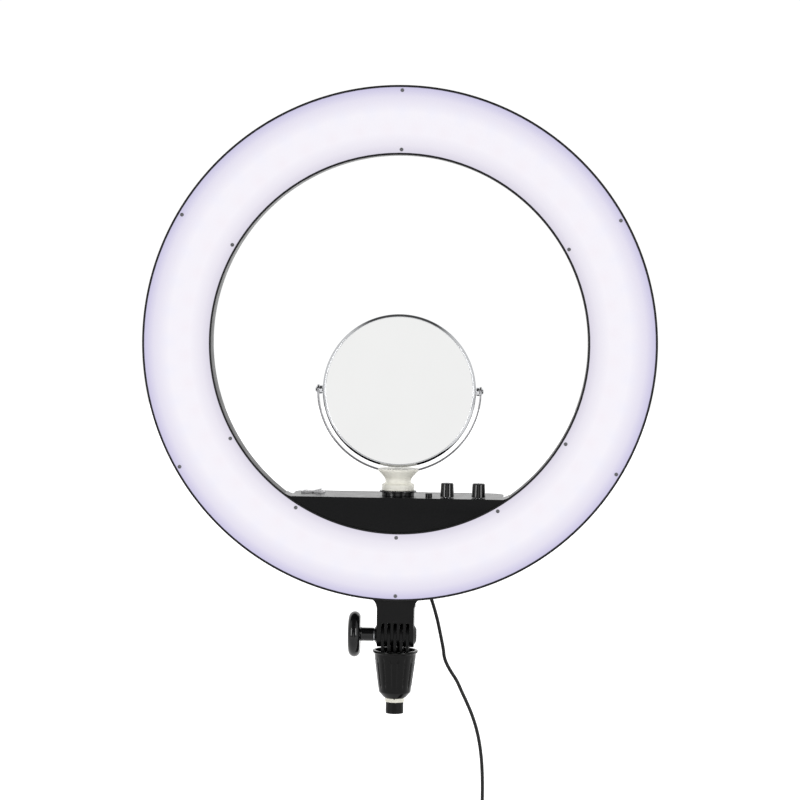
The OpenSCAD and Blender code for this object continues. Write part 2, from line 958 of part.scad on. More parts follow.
// Fingers of the tilt joint: plates across X, rounded about the tilt axis
module fingers(centres, t, z0, z1) {
    for (x = centres) {
        rod_x(finger_r, x - t / 2, x + t / 2, 72);
        translate([x - t / 2, -finger_r, z0])
            cube([t, 2 * finger_r, z1 - z0]);
    }
}

// Front view outline of the bracket, from the finger slots up to the ring
module bracket_outline() {
    top = neck_h + 6;
    rise = neck_h + 1;
    f = (flare_w - neck_w) / 2;
    polygon(concat(
        [[-neck_half, 0], [neck_half, 0]],
        [for (i = [0:8]) [neck_half + f - f * cos(90 * i / 8), rise - 10 + 10 * sin(90 * i / 8)]],
        [[neck_half + f, top], [-neck_half - f, top]],
        [for (i = [8:-1:0]) [-neck_half - f + f * cos(90 * i / 8), rise - 10 + 10 * sin(90 * i / 8)]]));
}

module tilt_bracket() {
    top = ring_rise + tongue_top;
    // the back part starts beyond the collar's rim, so that it clears it when tilted
    low = collar_r + 2;
    mid = neck_half - outer_finger_t / 2;
    color("#1a1a1c")
        at_hinge()
            difference() {
                union() {
                    slab(-finger_r, finger_r)
                        bracket_outline();
                    translate([-neck_half, finger_r - 1, low])
                        cube([neck_w, rear_y - finger_r + 1 + tongue_t, neck_h + 4 - low]);
                    translate([-tongue_half, rear_y, low + 1])
                        cube([2 * tongue_half, tongue_t, top - low - 1]);
                    for (s = [-1, 1])
                        rod_x(finger_r, s * mid - outer_finger_t / 2, s * mid + outer_finger_t / 2, 72);
                    fingers([for (i = [-3, -1, 1, 3]) i * pitch], finger_t, 0, 14);
                    cone_x(boss_base_r, boss_top_r, neck_half, boss_face);
                    cone_x(boss_top_r, boss_base_r, -boss_face, -neck_half);
                }
                // room for the knuckle's fingers, tilted either way
                for (i = [-2:2])
                    translate([i * 2 * pitch - finger_t / 2 - finger_gap, -finger_r - 1, -finger_r - 1])
                        cube([finger_t + 2 * finger_gap, 2 * finger_r + 2, finger_r + 1 + slot_floor]);
                // the ring sits in the saddle
                translate([0, 0, ring_rise])
                    rod_y(ring_r + gap, -50, rear_y, fine);
                rod_x(bolt_r + fit, -30, 30);
                // pocket of the captive nut
                rod_x(5.1, boss_face - 4, boss_face + 1);
                translate([0, 0, ring_rise])
                    each_place(tongue_screws)
                        rod_y(board_screw_r + 0.2, 0, 30);
            }
}

module bracket_screws() {
    color("#8d8f95")
        at_ring()
            each_place(tongue_screws)
                screw_y(2.8, 1.8, board_screw_r, tongue_t + 4, rear_y + tongue_t, 1);
}

module tilt_nut() {
    color("#b9bbc0")
        at_hinge()
            difference() {
                rod_x(5, boss_face - 3.9, boss_face - 0.1);
                rod_x(bolt_r + fit, boss_face - 10, boss_face + 10);
            }
}

module tilt_bolt() {
    knob_in = boss_face + washer_t + tilt_shaft_l;
    color("#9a9ca1")
        at_hinge()
            rod_x(bolt_r, -knob_in + 2, boss_face - 0.4);
}

module knob_washer() {
    color("#b4b6ba")
        at_hinge()
            difference() {
                rod_x(boss_top_r - 0.1, -boss_face - washer_t, -boss_face - 0.05);
                rod_x(bolt_r + 0.1, -40, 0);
            }
}

// Round clamp knob with a full-round edge and a shaft that meets the washer
module tilt_knob() {
    x0 = boss_face + washer_t + 0.05;
    x1 = x0 + tilt_shaft_l;
    round = tilt_knob_t / 2;
    color("#19191b")
        at_hinge()
            rotate([0, -90, 0])
                difference() {
                    union() {
                        translate([0, 0, x0])
                            cylinder(r = tilt_shaft_d / 2, h = tilt_shaft_l + 1);
                        translate([0, 0, x1 + round])
                            rotate_extrude($fn = 96)
                                polygon(concat(
                                    [[0, round], [0, -round]],
                                    arc([tilt_knob_d / 2 - round, 0], round, -90, 90, 12)));
                    }
                    translate([0, 0, x0 - 1])
                        cylinder(r = bolt_r + 0.02, h = tilt_shaft_l - 1);
                }
}

// Lower half of the tilt joint with the socket for the stand tube
module knuckle() {
    color("#171719")
        at_hinge()
            difference() {
                union() {
                    fingers([for (i = [-2:2]) i * 2 * pitch], finger_t, -knuckle_floor - 1, 0);
                    translate([0, 0, -cup_floor + 0.5])
                        cylinder(r = cup_r - 0.8, h = cup_floor - knuckle_floor - 0.5, $fn = 72);
                    translate([0, 0, -socket_low])
                        cylinder(r = socket_r, h = socket_low - cup_floor + 1, $fn = 72);
                }
                rod_x(bolt_r + fit, -30, 30);
                translate([0, 0, -socket_low - 1])
                    cylinder(r = grip_r + fit, h = socket_low + 1 - tube_top_drop + 0.2, $fn = 72);
            }
}

// Split nylon sleeve that the collar squeezes onto the tube
module collet() {
    color("#f1efe6")
        at_hinge()
            difference() {
                rotate_extrude($fn = 72)
                    polygon([[grip_r + fit, -collet_low], [tube_r + 0.6, -collet_low],
                        [tube_r + 0.6, -collar_low + 2], [tube_r + 2.6, -collar_low + 5],
                        [tube_r + 2.6, -socket_low - 0.1], [grip_r + fit, -socket_low - 0.1]]);
                for (a = [0, 90])
                    rotate([0, 0, a])
                        translate([-20, -0.5, -collet_low + 2.6])
                            cube([40, 1, 20]);
            }
}

// Tapered collar with long grooves
module collar() {
    foot_z = -collar_low + collar_foot_h;
    side = [[collar_r - 1.4, -collar_top_drop - 2.8], [collar_foot_r, foot_z]];
    round_w = collar_foot_r - collar_mouth_r - 0.7;
    lean = atan2(side[0][0] - side[1][0], side[0][1] - side[1][1]);
    color("#121214")
        at_hinge()
            difference() {
                rotate_extrude($fn = 96)
                    polygon(concat(
                        [[cup_r, -collar_top_drop], [collar_r - 0.5, -collar_top_drop],
                        [collar_r, -collar_top_drop - 0.6], [collar_r, -collar_top_drop - 1.6],
                        side[0], side[1]],
                        [for (i = [1:5]) [collar_foot_r - round_w * (1 - cos(18 * i)),
                            foot_z - collar_foot_h * sin(18 * i)]],
                        [[collar_mouth_r, -collar_low], [collar_mouth_r, -collar_low + 2.2],
                        [tube_r + 3, -collar_low + 5.2], [tube_r + 3, -socket_low],
                        [socket_r + fit, -socket_low], [socket_r + fit, -cup_floor],
                        [cup_r, -cup_floor]]));
                for (i = [0:collar_grooves - 1])
                    rotate([0, 0, (i + 0.5) * 360 / collar_grooves])
                        translate([(side[0][0] + side[1][0]) / 2 + 1.1, 0, (side[0][1] + side[1][1]) / 2])
                            rotate([0, lean, 0])
                                cylinder(r = 1.8, h = collar_l - 15.4, center = true, $fn = 24);
            }
}

module stand_tube() {
    color("#242527")
        difference() {
            union() {
                cylinder(r = tube_r, h = tube_free, $fn = 72);
                cylinder(r = grip_r, h = hinge_z - tube_top_drop, $fn = 72);
            }
            translate([0, 0, -1])
                cylinder(r = tube_in_r, h = hinge_z + 2, $fn = 72);
        }
}

// Nylon plug in the top of the tube
module tube_plug() {
    top = hinge_z - tube_top_drop;
    color("#2e2f31")
        translate([0, 0, top - 12])
            cylinder(r = tube_in_r - 0.03, h = 12 - 0.3, $fn = 72);
}

module dc_jack() {
    color("#26272a")
        at_ring()
            translate([jack_x, jack_y, box_low])
                difference() {
                    union() {
                        translate([0, 0, -0.8])
                            cylinder(r = jack_r + 1, h = 0.75);
                        translate([0, 0, -0.1])
                            cylinder(r = jack_r, h = box_wall + 4);
                        translate([-5, -5, box_wall + 0.05])
                            cube([10, 10, 10]);
                    }
                    translate([0, 0, -2])
                        cylinder(r = plug_pin_r + fit, h = 12.6);
                }
}

// Barrel plug: pin in the jack, moulded grip below it
module dc_plug() {
    color("#151517")
        at_ring()
            translate([jack_x, jack_y, box_low - 0.9]) {
                cylinder(r = plug_pin_r, h = 10);
                translate([0, 0, -plug_l + 0.9])
                    rotate_extrude($fn = 48)
                        polygon([[0, 0], [3.4, 0], [plug_r - 0.4, 1], [plug_r, 2.4],
                            [plug_r, plug_l - 2], [plug_r - 0.7, plug_l - 0.9], [0, plug_l - 0.9]]);
            }
}

// Tapered strain relief
module plug_relief() {
    color("#151517")
        translate([jack_x, jack_y, cord_out_z])
            cylinder(r1 = cord_r + 0.2, r2 = 3.2, h = relief_l);
}

// Smooth curve through a list of points: each span is a cubic through its ends
function spline_point(p, i, t) = let (
        a = p[max(i - 1, 0)], b = p[i], c = p[i + 1], d = p[min(i + 2, len(p) - 1)])
    0.5 * (2 * b + (c - a) * t + (2 * a - 5 * b + 4 * c - d) * t * t
        + (3 * b - a - 3 * c + d) * t * t * t);
function smooth(p, n) = concat(
    [for (i = [0:len(p) - 2]) for (k = [0:n - 1]) spline_point(p, i, k / n)],
    [p[len(p) - 1]]);
function unit(v) = v / norm(v);
function heading(p, i) = unit(p[min(i + 1, len(p) - 1)] - p[max(i - 1, 0)]);

// Tube of n sides swept along points that lie roughly in the XZ plane
module swept_tube(p, r, n = 8) {
    rings = [for (i = [0:len(p) - 1])
        let (t = heading(p, i), v = unit([0, 1, 0] - t[1] * t), u = cross(v, t))
        for (k = [0:n - 1]) p[i] + r * (cos(360 * k / n) * u + sin(360 * k / n) * v)];
    last = (len(p) - 1) * n;
    sides = [for (i = [0:len(p) - 2]) for (k = [0:n - 1])
        [i * n + k, i * n + (k + 1) % n, (i + 1) * n + (k + 1) % n, (i + 1) * n + k]];
    polyhedron(rings, concat(sides, [[for (k = [n - 1:-1:0]) k]], [[for (k = [0:n - 1]) last + k]]),
        convexity = 8);
}

module cord() {
    color("#2a2b2d")
        swept_tube(smooth(cord_route, 2), cord_r);
}

module cord_tail() {
    color("#2a2b2d")
        translate([80, tail_y, tail_z])
            cylinder(r = cord_r, h = coil_z - tail_z);
}

module cord_coil() {
    half = coil_rows * cord_r;
    c = 1.2;
    color("#2a2b2d")
        translate([coil_x, coil_y, coil_z])
            turned(72)
                polygon([[coil_in_r + c, -half], [coil_out_r - c, -half], [coil_out_r, -half + c],
                    [coil_out_r, half - c], [coil_out_r - c, half], [coil_in_r + c, half],
                    [coil_in_r, half - c], [coil_in_r, -half + c]]);
}

// Strap around the coil's turns, at its top
module coil_tie() {
    half = coil_rows * cord_r + 0.1;
    low = coil_in_r - 0.5;
    h = coil_out_r - coil_in_r + 0.7;
    color("#101012")
        translate([coil_x, coil_y, coil_z])
            difference() {
                translate([-3, -half - tie_t, low - tie_t])
                    cube([6, 2 * (half + tie_t), h + 2 * tie_t]);
                translate([-4, -half, low])
                    cube([8, 2 * half, h]);
            }
}

module adapter_case() {
    r = 6;
    w = adapter_w / 2;
    t = adapter_t / 2;
    color("#17181a")
        translate([80, tail_y, adapter_low])
            intersection() {
                linear_extrude(adapter_h)
                    polygon(concat(arc([w - r, t - r], r, 0, 90), arc([-w + r, t - r], r, 90, 180),
                        arc([-w + r, -t + r], r, 180, 270), arc([w - r, -t + r], r, 270, 360)));
                slab(-t - 1, t + 1)
                    polygon(concat(arc([w - 3, adapter_h - 3], 3, 0, 90),
                        arc([-w + 3, adapter_h - 3], 3, 90, 180), [[-w, 0], [w, 0]]));
            }
}

module adapter_relief() {
    color("#17181a")
        translate([80, tail_y, adapter_top])
            cylinder(r1 = 3.4, r2 = cord_r + 0.2, h = adapter_relief_l);
}

module adapter_blades() {
    color("#c4b27a")
        translate([80, tail_y, adapter_low - 16])
            for (x = [-6.35, 6.35])
                translate([x - 0.75, -3.2, 0])
                    cube([1.5, 6.4, 16 - 0.02]);
}

stand_tube();
tube_plug();
knuckle();
collet();
collar();
tilt_bracket();
bracket_screws();
tilt_nut();
tilt_knob();
tilt_bolt();
knob_washer();
ring_housing();
diffuser();
diffuser_screws();
led_board();
cool_leds();
warm_leds();
board_screws();
led_wires();
control_box();
box_screws();
box_cover();
cover_screws();
driver_board();
driver_parts();
driver_screws();
switch_frame();
power_rocker();
brightness_pot();
brightness_shaft();
brightness_knob();
colour_pot();
colour_shaft();
colour_knob();
button_switch();
push_button();
mirror_foot();
foot_screw();
mirror_pedestal();
mirror_yoke();
pivot_pins();
mirror_rim();
mirror_core();
mirror_glass();
magnifying_glass();
dc_jack();
dc_plug();
plug_relief();
cord();
cord_coil();
cord_tail();
coil_tie();
adapter_case();
adapter_relief();
adapter_blades();
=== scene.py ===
"""Ring light head in a white studio.

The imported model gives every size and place. The classes below shape the pieces that show, one class
for each sub-assembly, and give every piece its finish. Lengths are in metres.
"""

import sys

import json
import logging
import math
from dataclasses import dataclass
from enum import Enum
from typing import Any, Sequence

import bmesh
import bpy
import numpy as np
from mathutils import Matrix, Vector

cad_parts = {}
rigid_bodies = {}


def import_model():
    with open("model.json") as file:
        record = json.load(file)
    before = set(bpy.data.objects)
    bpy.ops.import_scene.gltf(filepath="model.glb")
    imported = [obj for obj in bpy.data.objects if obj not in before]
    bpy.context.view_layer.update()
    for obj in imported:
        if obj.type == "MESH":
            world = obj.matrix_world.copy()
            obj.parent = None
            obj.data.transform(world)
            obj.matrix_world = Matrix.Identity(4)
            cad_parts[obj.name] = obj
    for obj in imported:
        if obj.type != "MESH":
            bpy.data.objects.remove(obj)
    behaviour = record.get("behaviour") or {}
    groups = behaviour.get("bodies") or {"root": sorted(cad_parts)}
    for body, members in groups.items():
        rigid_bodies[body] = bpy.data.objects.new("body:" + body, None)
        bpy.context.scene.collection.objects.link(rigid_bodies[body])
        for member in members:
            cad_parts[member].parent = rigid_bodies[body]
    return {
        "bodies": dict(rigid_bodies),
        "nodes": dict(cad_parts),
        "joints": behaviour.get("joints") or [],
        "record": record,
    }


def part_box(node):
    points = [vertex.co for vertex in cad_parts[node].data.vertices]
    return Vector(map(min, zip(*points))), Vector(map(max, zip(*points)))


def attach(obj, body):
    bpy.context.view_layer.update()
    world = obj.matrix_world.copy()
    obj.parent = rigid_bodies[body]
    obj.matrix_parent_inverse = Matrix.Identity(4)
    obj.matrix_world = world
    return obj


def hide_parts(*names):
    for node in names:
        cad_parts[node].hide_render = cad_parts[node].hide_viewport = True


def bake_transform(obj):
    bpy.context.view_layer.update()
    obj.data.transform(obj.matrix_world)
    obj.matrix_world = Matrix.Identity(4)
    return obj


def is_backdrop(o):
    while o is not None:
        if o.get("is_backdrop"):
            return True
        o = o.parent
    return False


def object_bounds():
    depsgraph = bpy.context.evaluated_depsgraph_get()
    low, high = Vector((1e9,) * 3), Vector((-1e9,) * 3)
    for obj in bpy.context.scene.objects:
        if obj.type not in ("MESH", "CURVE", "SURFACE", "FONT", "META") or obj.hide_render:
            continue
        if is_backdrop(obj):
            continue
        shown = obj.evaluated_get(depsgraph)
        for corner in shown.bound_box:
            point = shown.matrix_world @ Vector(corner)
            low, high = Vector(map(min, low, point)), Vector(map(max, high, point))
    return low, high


log = logging.getLogger("ring_light")

MM = 0.001
TURN = 2 * math.pi
LEAST_RADIUS = 1e-7  # an arc's radius where a corner is left crisp
NEARLY_STRAIGHT = math.radians(89.5)  # a corner with a wider half angle gets no arc
STAND_IN_ANGLE = math.radians(80)  # keeps the sums finite at such a corner
SENSOR = 36.0  # width of the camera's sensor, in millimetres

Colour = tuple[float, float, float]
Point = tuple[float, float, float]
Span = tuple[float, float]


# ---- shapes


class Axis(Enum):
    """Axis that a profile is turned about: its place in a point, then the two places across it."""

    X = (0, 1, 2)
    Y = (1, 0, 2)
    Z = (2, 0, 1)


@dataclass
class Patch:
    """A grid of points that becomes quads.

    Args:
        grid: points, rows by columns by 3.
        wrap_rows: the last row joins the first.
        wrap_cols: the last column joins the first.
        cap_rows: the first and last rows are closed with flat faces.
    """

    grid: np.ndarray
    wrap_rows: bool = False
    wrap_cols: bool = False
    cap_rows: bool = False

    def faces(self, first: int) -> list[list[int]]:
        """Corner numbers of every face.

        Args:
            first: number of the patch's first point in the whole mesh.

        Returns:
            Quads between neighbouring rows and columns, then the caps.
        """
        rows, cols = self.grid.shape[:2]
        i = np.arange(rows if self.wrap_rows else rows - 1)[:, None]
        j = np.arange(cols if self.wrap_cols else cols - 1)[None, :]
        below, beside = (i + 1) % rows, (j + 1) % cols
        corners = [i * cols + j, i * cols + beside, below * cols + beside, below * cols + j]
        quads = (first + np.stack(corners, axis=-1).reshape(-1, 4)).tolist()
        if self.cap_rows:
            last = first + (rows - 1) * cols
            quads += [list(range(first, first + cols))[::-1], list(range(last, last + cols))]
        return quads


def unit(v: np.ndarray) -> np.ndarray:
    """Vectors of length one along v."""
    return v / np.linalg.norm(v, axis=-1, keepdims=True)


def smoothstep(x: np.ndarray, low: float, high: float) -> np.ndarray:
    """3t² - 2t³ of how far x has gone from low to high."""
    t = np.clip((x - low) / (high - low), 0, 1)
    return t * t * (3 - 2 * t)


def filleted(corners: Sequence[Sequence[float]], closed: bool = True, steps: int = 6) -> np.ndarray:
    """An outline whose corners are rounded by arcs.

    The arc at a corner touches both edges: its centre lies on the corner's bisector at
    radius / sin(half angle), and its points turn evenly from one touching point to the other.

    Args:
        corners: each corner's two coordinates and the radius of its arc.
        closed: the last corner joins the first.
        steps: points on each arc, less one.

    Returns:
        Points of the outline, n by 2.
    """
    table = np.array(corners, dtype=float)
    p, r = table[:, :2], np.maximum(table[:, 2], LEAST_RADIUS)
    before, after = np.roll(p, 1, axis=0), np.roll(p, -1, axis=0)
    if not closed:
        before[0], after[-1] = 2 * p[0] - p[1], 2 * p[-1] - p[-2]
    a, b = unit(before - p), unit(after - p)
    half = np.arccos(np.clip((a * b).sum(axis=1), -1, 1)) / 2
    straight = half > NEARLY_STRAIGHT
    half = np.where(straight, STAND_IN_ANGLE, half)
    reach = r / np.tan(half)
    start, end = p + a * reach[:, None], p + b * reach[:, None]
    bisector = np.where(straight[:, None], [[1.0, 0.0]], a + b)
    centre = p + unit(bisector) * (r / np.sin(half))[:, None]
    u, v = start - centre, end - centre
    turn = (math.pi - 2 * half)[:, None, None]
    t = np.linspace(0, 1, steps + 1)[None, :, None]
    swing = np.sin((1 - t) * turn) * u[:, None] + np.sin(t * turn) * v[:, None]
    arcs = centre[:, None] + swing / np.sin(turn)
    arcs = np.where(straight[:, None, None], p[:, None], arcs)
    return arcs.reshape(-1, 2)


def rectangle(half_wide: float, half_high: float, radius: float, steps: int = 6) -> np.ndarray:
    """A rectangle round the origin with rounded corners.

    Args:
        half_wide: half its width.
        half_high: half its height.
        radius: radius of its corners.
        steps: points on each corner, less one.

    Returns:
        Points of the outline, anticlockwise, n by 2.
    """
    w, h = half_wide, half_high
    corners = [(-w, -h, radius), (w, -h, radius), (w, h, radius), (-w, h, radius)]
    return filleted(corners, steps=steps)


def turned(
    profile: np.ndarray, axis: Axis, centre: np.ndarray, steps: int, closed: bool = False
) -> Patch:
    """A profile turned a whole turn about an axis.

    Args:
        profile: radius and place along the axis, n by 2.
        axis: the axis' direction.
        centre: a point that the axis passes through, from which places along it count.
        steps: columns round the turn.
        closed: the profile's last point joins its first.

    Returns:
        Rows along the profile, columns round the axis.
    """
    angle = np.linspace(0, TURN, steps, endpoint=False)[None, :]
    radius, along = profile[:, 0][:, None], profile[:, 1][:, None]
    grid = np.empty((len(profile), steps, 3))
    grid[..., axis.value[0]] = along
    grid[..., axis.value[1]] = radius * np.cos(angle)
    grid[..., axis.value[2]] = radius * np.sin(angle)
    return Patch(grid + centre, wrap_rows=closed, wrap_cols=True)


def swept(
    path: np.ndarray, section: np.ndarray, side: Point = (0, 1, 0), closed: bool = False
) -> Patch:
    """A section carried along a path.

    The section's second direction is the side vector with its part along the path taken off, and
    its first direction is that crossed with the path's direction.

    Args:
        path: points, n by 3.
        section: points across the path, m by 2, or n by m by 2 where it changes along the way.
        side: a direction that the path never takes.
        closed: the path's last point joins its first.

    Returns:
        Rows along the path, columns round the section.
    """
    if closed:
        along = unit(np.roll(path, -1, axis=0) - np.roll(path, 1, axis=0))
    else:
        along = unit(np.gradient(path, axis=0))
    ref = np.array(side, dtype=float)
    v = unit(ref - (along @ ref)[:, None] * along)
    u = np.cross(v, along)
    s = np.broadcast_to(section, (len(path),) + section.shape[-2:])
    grid = path[:, None] + s[..., 0:1] * u[:, None] + s[..., 1:2] * v[:, None]
    return Patch(grid, wrap_rows=closed, wrap_cols=True, cap_rows=not closed)


def circle(radius: float, count: int) -> np.ndarray:
    """Points evenly round a circle, count by 2."""
    a = np.linspace(0, TURN, count, endpoint=False)
    return radius * np.stack([np.cos(a), np.sin(a)], axis=1)


def smooth_path(points: np.ndarray, steps: int) -> np.ndarray:
    """A curve through points.

    Each span is the cubic whose slope at a point is half the step between that point's neighbours.

    Args:
        points: n by 3.
        steps: parts that each span is cut into.

    Returns:
        Points on the curve, the last of the given points included.
    """
    p = np.vstack([points[:1], points, points[-1:]])
    a, b, c, d = (p[k : len(p) - 3 + k, None] for k in range(4))
    t = np.linspace(0, 1, steps, endpoint=False)[None, :, None]
    square, cube = 2 * a - 5 * b + 4 * c - d, 3 * b - a - 3 * c + d
    spans = 0.5 * (2 * b + (c - a) * t + square * t**2 + cube * t**3)
    return np.vstack([spans.reshape(-1, 3), points[-1:]])


def extent(node: str) -> tuple[np.ndarray, np.ndarray]:
    """Centre and half size of a node's box."""
    low, high = np.array(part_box(node))
    return (low + high) / 2, (high - low) / 2


def path_length(path: np.ndarray) -> float:
    """Length of a line through points."""
    return float(np.linalg.norm(np.diff(path, axis=0), axis=1).sum())


# ---- finishes


class Tree:
    """A node tree, with short ways to add nodes to it."""

    def __init__(self, owner: Any) -> None:
        """Empties the node tree of a material or a world."""
        owner.use_nodes = True
        self.tree = owner.node_tree
        self.tree.nodes.clear()

    def add(self, kind: str, inputs: dict[int | str, Any] | None = None, **settings: Any) -> Any:
        """Adds a node.

        Args:
            kind: the node's type, without its prefix.
            inputs: for each socket, a value or another node's output.
            settings: the node's own settings.

        Returns:
            The node.
        """
        node = self.tree.nodes.new("ShaderNode" + kind)
        for name, value in settings.items():
            setattr(node, name, value)
        for socket, value in (inputs or {}).items():
            if isinstance(value, bpy.types.NodeSocket):
                self.tree.links.new(value, node.inputs[socket])
            else:
                node.inputs[socket].default_value = value
        return node

    def maths(self, operation: str, *values: Any) -> Any:
        """One step of arithmetic on numbers or outputs."""
        return self.add("Math", dict(enumerate(values)), operation=operation).outputs[0]


class Nodes(Tree):
    """A material's node tree, with what the finishes need."""

    def __init__(self, name: str) -> None:
        """Starts a material with a Principled shader on its output."""
        self.material = bpy.data.materials.new(name)
        super().__init__(self.material)
        self.shader = self.add("BsdfPrincipled")
        self.add("OutputMaterial", {"Surface": self.shader.outputs[0]})

    def set(self, **values: Any) -> None:
        """Sets the shader's own sockets; an underscore in a name stands for a space."""
        for name, value in values.items():
            self.shader.inputs[name.replace("_", " ")].default_value = value

    def link(self, source: Any, target: str) -> None:
        """Leads a node's output into the shader's socket of that name."""
        self.tree.links.new(source, self.shader.inputs[target])

    def skin(self, tone: Any, colour: Colour, mottle: float, rough: Any, *span: float) -> None:
        """Sets the base colour and the roughness, each varied by its own pattern.

        Args:
            tone: pattern of the colour.
            colour: mean colour.
            mottle: share by which it changes.
            rough: pattern of the roughness.
            span: its least and greatest value.
        """
        self.link(self.mottled(tone, colour, mottle), "Base Color")
        self.link(self.between(rough, *span), "Roughness")

    def place(self, centre: Point = (0, 0, 0), stretch: Point = (1, 1, 1)) -> Any:
        """Where a point is on the piece, counted from a centre and stretched along each axis."""
        at = self.add("TexCoord").outputs["Object"]
        shift = tuple(-c * s for c, s in zip(centre, stretch))
        return self.add("Mapping", {"Vector": at, "Location": shift, "Scale": stretch}).outputs[0]

    def noise(self, size: float, detail: float = 2, vector: Any = None) -> Any:
        """Cloudy values with features of about that size, from 0 to 1."""
        at = vector or self.place()
        return self.add("TexNoise", {"Vector": at, "Scale": 1 / size, "Detail": detail}).outputs[0]

    def between(
        self, value: Any, low: float, high: float, start: float = 0.3, end: float = 0.7
    ) -> Any:
        """A value led from its own range, start to end, onto the one from low to high."""
        inputs = {0: value, 1: start, 2: end, 3: low, 4: high}
        return self.add("MapRange", inputs).outputs[0]

    def mottled(self, value: Any, colour: Colour, amount: float) -> Any:
        """A colour that grows darker and lighter with a value, by that share of itself."""
        low = tuple(c * (1 - amount) for c in colour) + (1.0,)
        high = tuple(min(1.0, c * (1 + amount)) for c in colour) + (1.0,)
        return self.ramp(value, [(0.3, low), (0.7, high)])

    def ramp(self, value: Any, stops: Sequence[tuple[float, Sequence[float]]]) -> Any:
        """Colours laid along a value from 0 to 1."""
        node = self.add("ValToRGB", {0: value})
        elements = node.color_ramp.elements
        while len(elements) < len(stops):
            elements.new(0.5)
        for element, (at, colour) in zip(elements, stops):
            element.position = at
            element.color = tuple(colour) if len(colour) == 4 else (*colour, 1.0)
        return node.outputs[0]

    def bump(self, height: Any, depth: float, strength: float = 1.0) -> None:
        """Leads a height into the shader's normal; depth is the height's size in metres."""
        node = self.add("Bump", {"Height": height, "Strength": strength, "Distance": depth})
        self.link(node.outputs[0], "Normal")

    def hypotenuse(self, a: Any, b: Any) -> Any:
        """The root of a² + b²."""
        squares = self.maths("MULTIPLY", a, a), self.maths("MULTIPLY", b, b)
        return self.maths("SQRT", self.maths("ADD", *squares))

    def veiled(self, amount: Any, under: Any, over: Sequence[float]) -> Any:
        """One colour laid over another by an amount from 0 to 1."""
        return self.add("Mix", {0: amount, 6: under, 7: over}, data_type="RGBA").outputs[2]


@dataclass(frozen=True)
class Moulded:
    """Moulded plastic: a fine grain, slow changes of tone, and gloss that varies a little.

    Args:
        colour: base colour.
        roughness: mean roughness.
        specular: how strongly it reflects head on, 0.5 for common plastic.
        grain: size of the surface's texture.
        depth: height of the texture.
        mottle: share by which the tone changes.
    """

    colour: Colour
    roughness: float = 0.4
    specular: float = 0.4
    grain: float = 0.35 * MM
    depth: float = 0.01 * MM
    mottle: float = 0.08

    def material(self, name: str) -> bpy.types.Material:
        """Builds the material."""
        n = Nodes(name)
        low, high = self.roughness * 0.88, self.roughness * 1.12
        n.skin(n.noise(24 * MM, 3), self.colour, self.mottle, n.noise(9 * MM, 4), low, high)
        n.set(Specular_IOR_Level=self.specular)
        n.bump(n.noise(self.grain, 1), self.depth)
        return n.material


@dataclass(frozen=True)
class PowderCoat:
    """Paint baked on metal, with a soft pebbled skin.

    Args:
        colour: base colour.
        roughness: mean roughness.
        specular: how strongly it reflects head on.
        pebble: size of the skin's pebbles.
        depth: their height.
    """

    colour: Colour
    roughness: float = 0.42
    specular: float = 0.18
    pebble: float = 1.1 * MM
    depth: float = 0.02 * MM

    def material(self, name: str) -> bpy.types.Material:
        """Builds the material."""
        n = Nodes(name)
        low, high = self.roughness * 0.85, self.roughness * 1.15
        n.skin(n.noise(15 * MM, 3), self.colour, 0.1, n.noise(5 * MM, 3), low, high)
        n.set(Specular_IOR_Level=self.specular)
        n.bump(n.noise(self.pebble, 2), self.depth)
        return n.material


@dataclass(frozen=True)
class Metal:
    """Bare or plated metal.

    Args:
        colour: reflection colour.
        roughness: mean roughness.
        streak: how closely the lines lie along each axis; equal numbers give no lines.
        depth: height of the lines.
    """

    colour: Colour
    roughness: float
    streak: Point = (1, 1, 1)
    depth: float = 0.002 * MM

    def material(self, name: str) -> bpy.types.Material:
        """Builds the material."""
        n = Nodes(name)
        lines = n.noise(0.6 * MM, 3, n.place(stretch=self.streak))
        low, high = self.roughness * 0.7, self.roughness * 1.3
        n.skin(n.noise(12 * MM, 2), self.colour, 0.03, lines, low, high)
        n.set(Metallic=1.0)
        n.bump(lines, self.depth)
        return n.material


@dataclass(frozen=True)
class SilveredGlass:
    """Mirror glass: nearly perfect reflection with a faint waviness of the silvering."""

    tint: Colour = (0.955, 0.958, 0.952)

    def material(self, name: str) -> bpy.types.Material:
        """Builds the material."""
        n = Nodes(name)
        wave = n.noise(60 * MM, 2)
        n.skin(wave, self.tint, 0.008, n.noise(18 * MM, 3), 0.012, 0.03)
        n.set(Metallic=1.0)
        n.bump(wave, 0.002 * MM)
        return n.material


